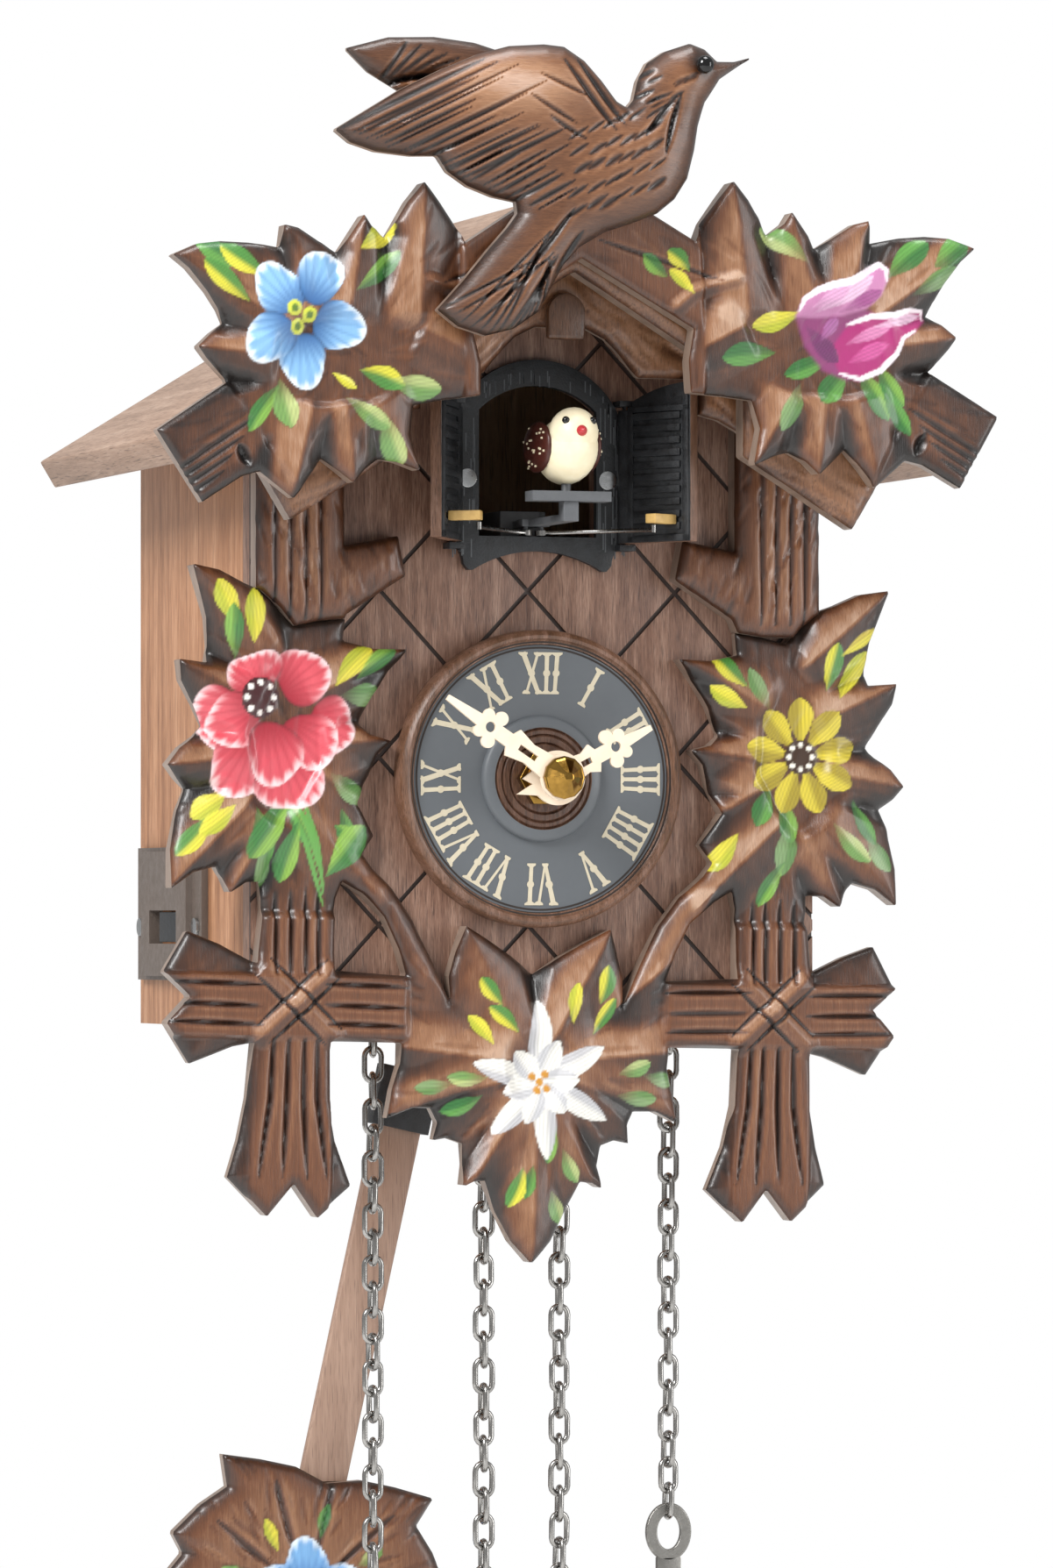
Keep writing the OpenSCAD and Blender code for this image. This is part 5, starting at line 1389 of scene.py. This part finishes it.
# ---------------------------------------------------------------- chains, rings and cones
LINKS = {"left": (25, 25), "right": (25, 21)}    # in the inner and the outer strand
FIRST_LINK = -39.7                               # middle of the top link
WIRE_R = 0.55
BEND_R = 1.65                                    # a link: two half circles of the wire's middle line
HALF_RUN = 1.55                                  # and half of the straight run between them
loop = []
for end in (0, 1):
    for k in range(9):
        a = math.pi * (end + k / 8)
        run = HALF_RUN if end == 0 else -HALF_RUN
        loop.append((BEND_R * math.cos(a), 0, run + BEND_R * math.sin(a)))
link = bent_wire(loop, WIRE_R)
for side, name in ((-1, "left"), (1, "right")):
    rng = random.Random(LINKS[name][1])
    spots = []
    for x, links in zip(STRANDS, LINKS[name]):
        for k in range(links):
            quarter = 0 if k % 2 else math.pi / 2
            spots.append(((side * x, CHAIN_Y, FIRST_LINK - LINK_PITCH * k),
                          (rng.uniform(-0.03, 0.03), 0, quarter + rng.uniform(-0.22, 0.22)),
                          FULL_SIZE))
    chain = name + "_chain"
    repeat(chain + "_links", link, spots, chain_steel, chain, [chain], sharp=60)

# a cast cone: a turned core, and rows of overlapping scales on it
CONE_H = 88.0
# radius and height of the core, from its tip up
CORE = [(0, 0), (3.5, 0.5), (6.2, 6), (8.0, 10.6), (10.6, 28.2), (11.2, 44), (10.4, 61.6),
        (8.2, 76.6), (4.6, 85.4), (1.5, 87.9), (0, CONE_H)]
SCALE_ROWS = 19
SCALE_APART = 5.2                                # from scale to scale round the cone
scale_front = [(-2.4, 0.35, -2.4), (2.4, 0.35, -2.4), (2.6, 0.9, 0.6), (0, 1.15, 3.2),
               (-2.6, 0.9, 0.6)]
scale_back = [(-2.2, -0.8, -2.2), (2.2, -0.8, -2.2), (2.2, -0.9, 0.6), (0, -0.7, 2.6),
              (-2.2, -0.9, 0.6)]
scale_faces = [(0, 1, 2, 3, 4), (9, 8, 7, 6, 5)]
scale_faces += [(i, i + 5, (i + 1) % 5 + 5, (i + 1) % 5) for i in range(5)]
scale = (scale_front + scale_back, scale_faces)
for side, name in ((-1, "left"), (1, "right")):
    chain = name + "_chain"
    from_cad("pull_ring_" + name, chain, cast_steel, 0.3)
    x = side * STRANDS[1]
    foot = FIRST_LINK - LINK_PITCH * (LINKS[name][1] - 1) - 2.65    # inside of the last link
    eye_z = foot - 3.35
    eye = plate([ring(4.65, 48, (0, eye_z), 5.65), ring(2.4, 40, (0, eye_z), 3.4)], 1.2, 0.3,
                lambda a, b, c: (x + a, CHAIN_Y + 0.6 - c, b))
    neck = block((x - 2.5, CHAIN_Y - 0.6, foot - 12.65), (x + 2.5, CHAIN_Y + 0.6, foot - 8.15), 0.3)
    verts, faces = join([eye, neck])
    mesh_piece(name + "_weight_eye", verts, faces, chain, cast_steel, slot="cone_cast", sharp=40)
    low = foot - 11.65 - CONE_H
    verts, faces = turned(CORE, 48, (x, CHAIN_Y, low), "z")
    mesh_piece(name + "_weight_core", verts, faces, chain, cone_paint, [name + "_weight"],
               slot="cone_cast", weld=0.01, sharp=60)
    spots = []
    for row in range(SCALE_ROWS):
        z = 4 + row * 4.35
        r = float(np.interp(z, [h for _, h in CORE], [r for r, _ in CORE]))
        count = max(6, int(round(2 * math.pi * r / SCALE_APART)))
        for k in range(count):
            a = 2 * math.pi * (k + 0.5 * (row % 2)) / count
            spots.append(((x + r * math.cos(a), CHAIN_Y + r * math.sin(a), low + z),
                          (0, 0, a - math.pi / 2), FULL_SIZE))
    repeat(name + "_weight_scales", scale, spots, cone_paint, chain, sharp=50)

# ---------------------------------------------------------------- pendulum
bob = Carving("pendulum_bob", 0.5)
bob.h = 3.2 + 1.3 * (1 - np.exp(-bob.d / 2.5))
bob.tone = 0.2 + 0.5 * (1 - np.exp(-bob.d / 2.2))
middle = bob.p.mean(0)


def bob_heading(x, z):
    """Tool marks on the bob run out from its middle."""
    return math.degrees(math.atan2(z - middle[1], x - middle[0]))


def from_middle(r, a):
    """The place on the bob at distance r from its middle, in direction a."""
    return tuple(middle + r * np.array([math.cos(a), math.sin(a)]))


chips(bob, bob.p, 31, 160, 5.0, bob_heading)
for a in np.radians([40, 75, 105, 140, 200, 235, 270, 305, 340]):
    bob.gouge(bob.p, [from_middle(8, a), from_middle(24, a)], 0.9, 1.1)
spray(bob, tuple(middle), [from_middle(r, a) for r, a in (
    (15, 0.5), (15, 1.3), (14, 2.1), (15, 2.8), (14, 3.9), (14, 4.9), (15, 5.7))], 6.5, 2.6, 33)
for k in range(5):
    a = math.radians(90 + 72 * k)
    bob.petal(from_middle(6.5, a), (math.cos(a), math.sin(a)), (5.0, 4.4), "#79b0e2", "#3f74b8",
              "#e3effa")
bob.dots([tuple(middle)], 2.2, "#d9d24a")
bob.finish("pendulum", carved_wood, "carved_wood")
from_cad("pendulum_rod", "pendulum", rod_wood, 0.4)
from_cad("pendulum_leader", "pendulum", cream_plastic, 0.0)
from_cad("pendulum_clip", "pendulum", black_plastic, 0.1)

# ---------------------------------------------------------------- case
for name, finish, bevel, slot in (("front_board", front_wood, 0.25, "front_wood"),
                                  ("left_side", side_wood, 0.35, "side_wood"),
                                  ("right_side", side_wood, 0.35, "side_wood"),
                                  ("floor_board", side_wood, 0.3, "case_wood"),
                                  ("back_board", back_wood, 0.3, "case_wood"),
                                  ("roof_left", roof_wood, 0.5, "roof_wood"),
                                  ("roof_right", roof_wood, 0.5, "roof_wood"),
                                  ("switch_plate", plate_plastic, 0.3, "plate_plastic"),
                                  ("hanger_plate", brass, 0.2, "brass"),
                                  ("small_screws", screw_steel, 0.15, "steel"),
                                  ("chain_bar", chain_steel, 0.2, "steel")):
    from_cad(name, "case", finish, bevel)
from_cad("switch_slider", "slider", black_plastic, 0.3)
# what lies inside keeps its CAD shape
for name, mat in (("movement_case", black_plastic), ("set_knob", cream_plastic),
                  ("pendulum_bracket", black_plastic), ("carriage_rail", grey_plastic),
                  ("drive_pinion", grey_plastic), ("cuckoo_motor", screw_steel),
                  ("sound_board", board_green), ("loudspeaker", speaker_black),
                  ("battery_holder", black_plastic), ("cells", cell_wrap)):
    data = NODES[name].data
    if len(data.materials):
        for k in range(len(data.materials)):
            data.materials[k] = mat
    else:
        data.materials.append(mat)

# ---------------------------------------------------------------- room, lights and camera
FLOOR_HALF = 1.5                                 # metres from here on
FLOOR_Z = -0.42
mesh = bpy.data.meshes.new("paper floor")
mesh.from_pydata([(x * FLOOR_HALF, y * FLOOR_HALF, FLOOR_Z)
                  for x, y in ((-1, -1), (1, -1), (1, 1), (-1, 1))], [], [(0, 1, 2, 3)])
mesh.materials.append(paper)
floor = bpy.data.objects.new("paper_floor", mesh)
bpy.context.scene.collection.objects.link(floor)


def soft_box(name, at, look, width, height, power):
    """A studio light of a soft rectangle at one place, turned to look at another."""
    lamp = bpy.data.lights.new(name, "AREA")
    lamp.shape = "RECTANGLE"
    lamp.size, lamp.size_y, lamp.energy = width, height, power
    obj = bpy.data.objects.new(name, lamp)
    obj.location = at
    obj.rotation_euler = (Vector(look) - Vector(at)).to_track_quat("-Z", "Y").to_euler()
    bpy.context.scene.collection.objects.link(obj)


soft_box("key", (-1.15, -0.75, 0.85), (0, -0.05, -0.08), 0.5, 0.7, 30)
soft_box("fill", (1.4, -1.1, 0.1), (0, -0.05, -0.1), 0.5, 1.2, 12)
soft_box("top", (0.1, -0.25, 1.3), (0, -0.05, -0.1), 0.6, 0.6, 12)
world = bpy.data.worlds.new("studio")
world.use_nodes = True
world.node_tree.nodes.clear()
seen = node(world.node_tree, "ShaderNodeLightPath").outputs["Is Camera Ray"]
strength = node(world.node_tree, "ShaderNodeMapRange", {"Value": seen, "To Min": 0.5, "To Max": 1.0})
sky = node(world.node_tree, "ShaderNodeBackground", {"Color": linear("#ffffff"),
           "Strength": strength.outputs[0]})
node(world.node_tree, "ShaderNodeOutputWorld", {"Surface": sky.outputs[0]})
bpy.context.scene.world = world

YAW = math.radians(19.0)                         # the camera stands to the clock's left
DISTANCE = 1.45015
AIM = Vector((0, -0.080, -0.076 - 0.0271))
away = Vector((math.sin(YAW), math.cos(YAW), 0))
right = Vector((math.cos(YAW), -math.sin(YAW), 0))
lens = bpy.data.cameras.new("camera")
lens.sensor_width = 36.0
lens.lens = 174.2
lens.shift_y = 0.087
lens.clip_start = 0.05
camera = bpy.data.objects.new("camera", lens)
camera.location = AIM - away * DISTANCE - right * 0.00327
camera.rotation_euler = away.to_track_quat("-Z", "Y").to_euler()
bpy.context.scene.collection.objects.link(camera)
bpy.context.scene.camera = camera
bpy.context.scene.view_settings.view_transform = "Standard"
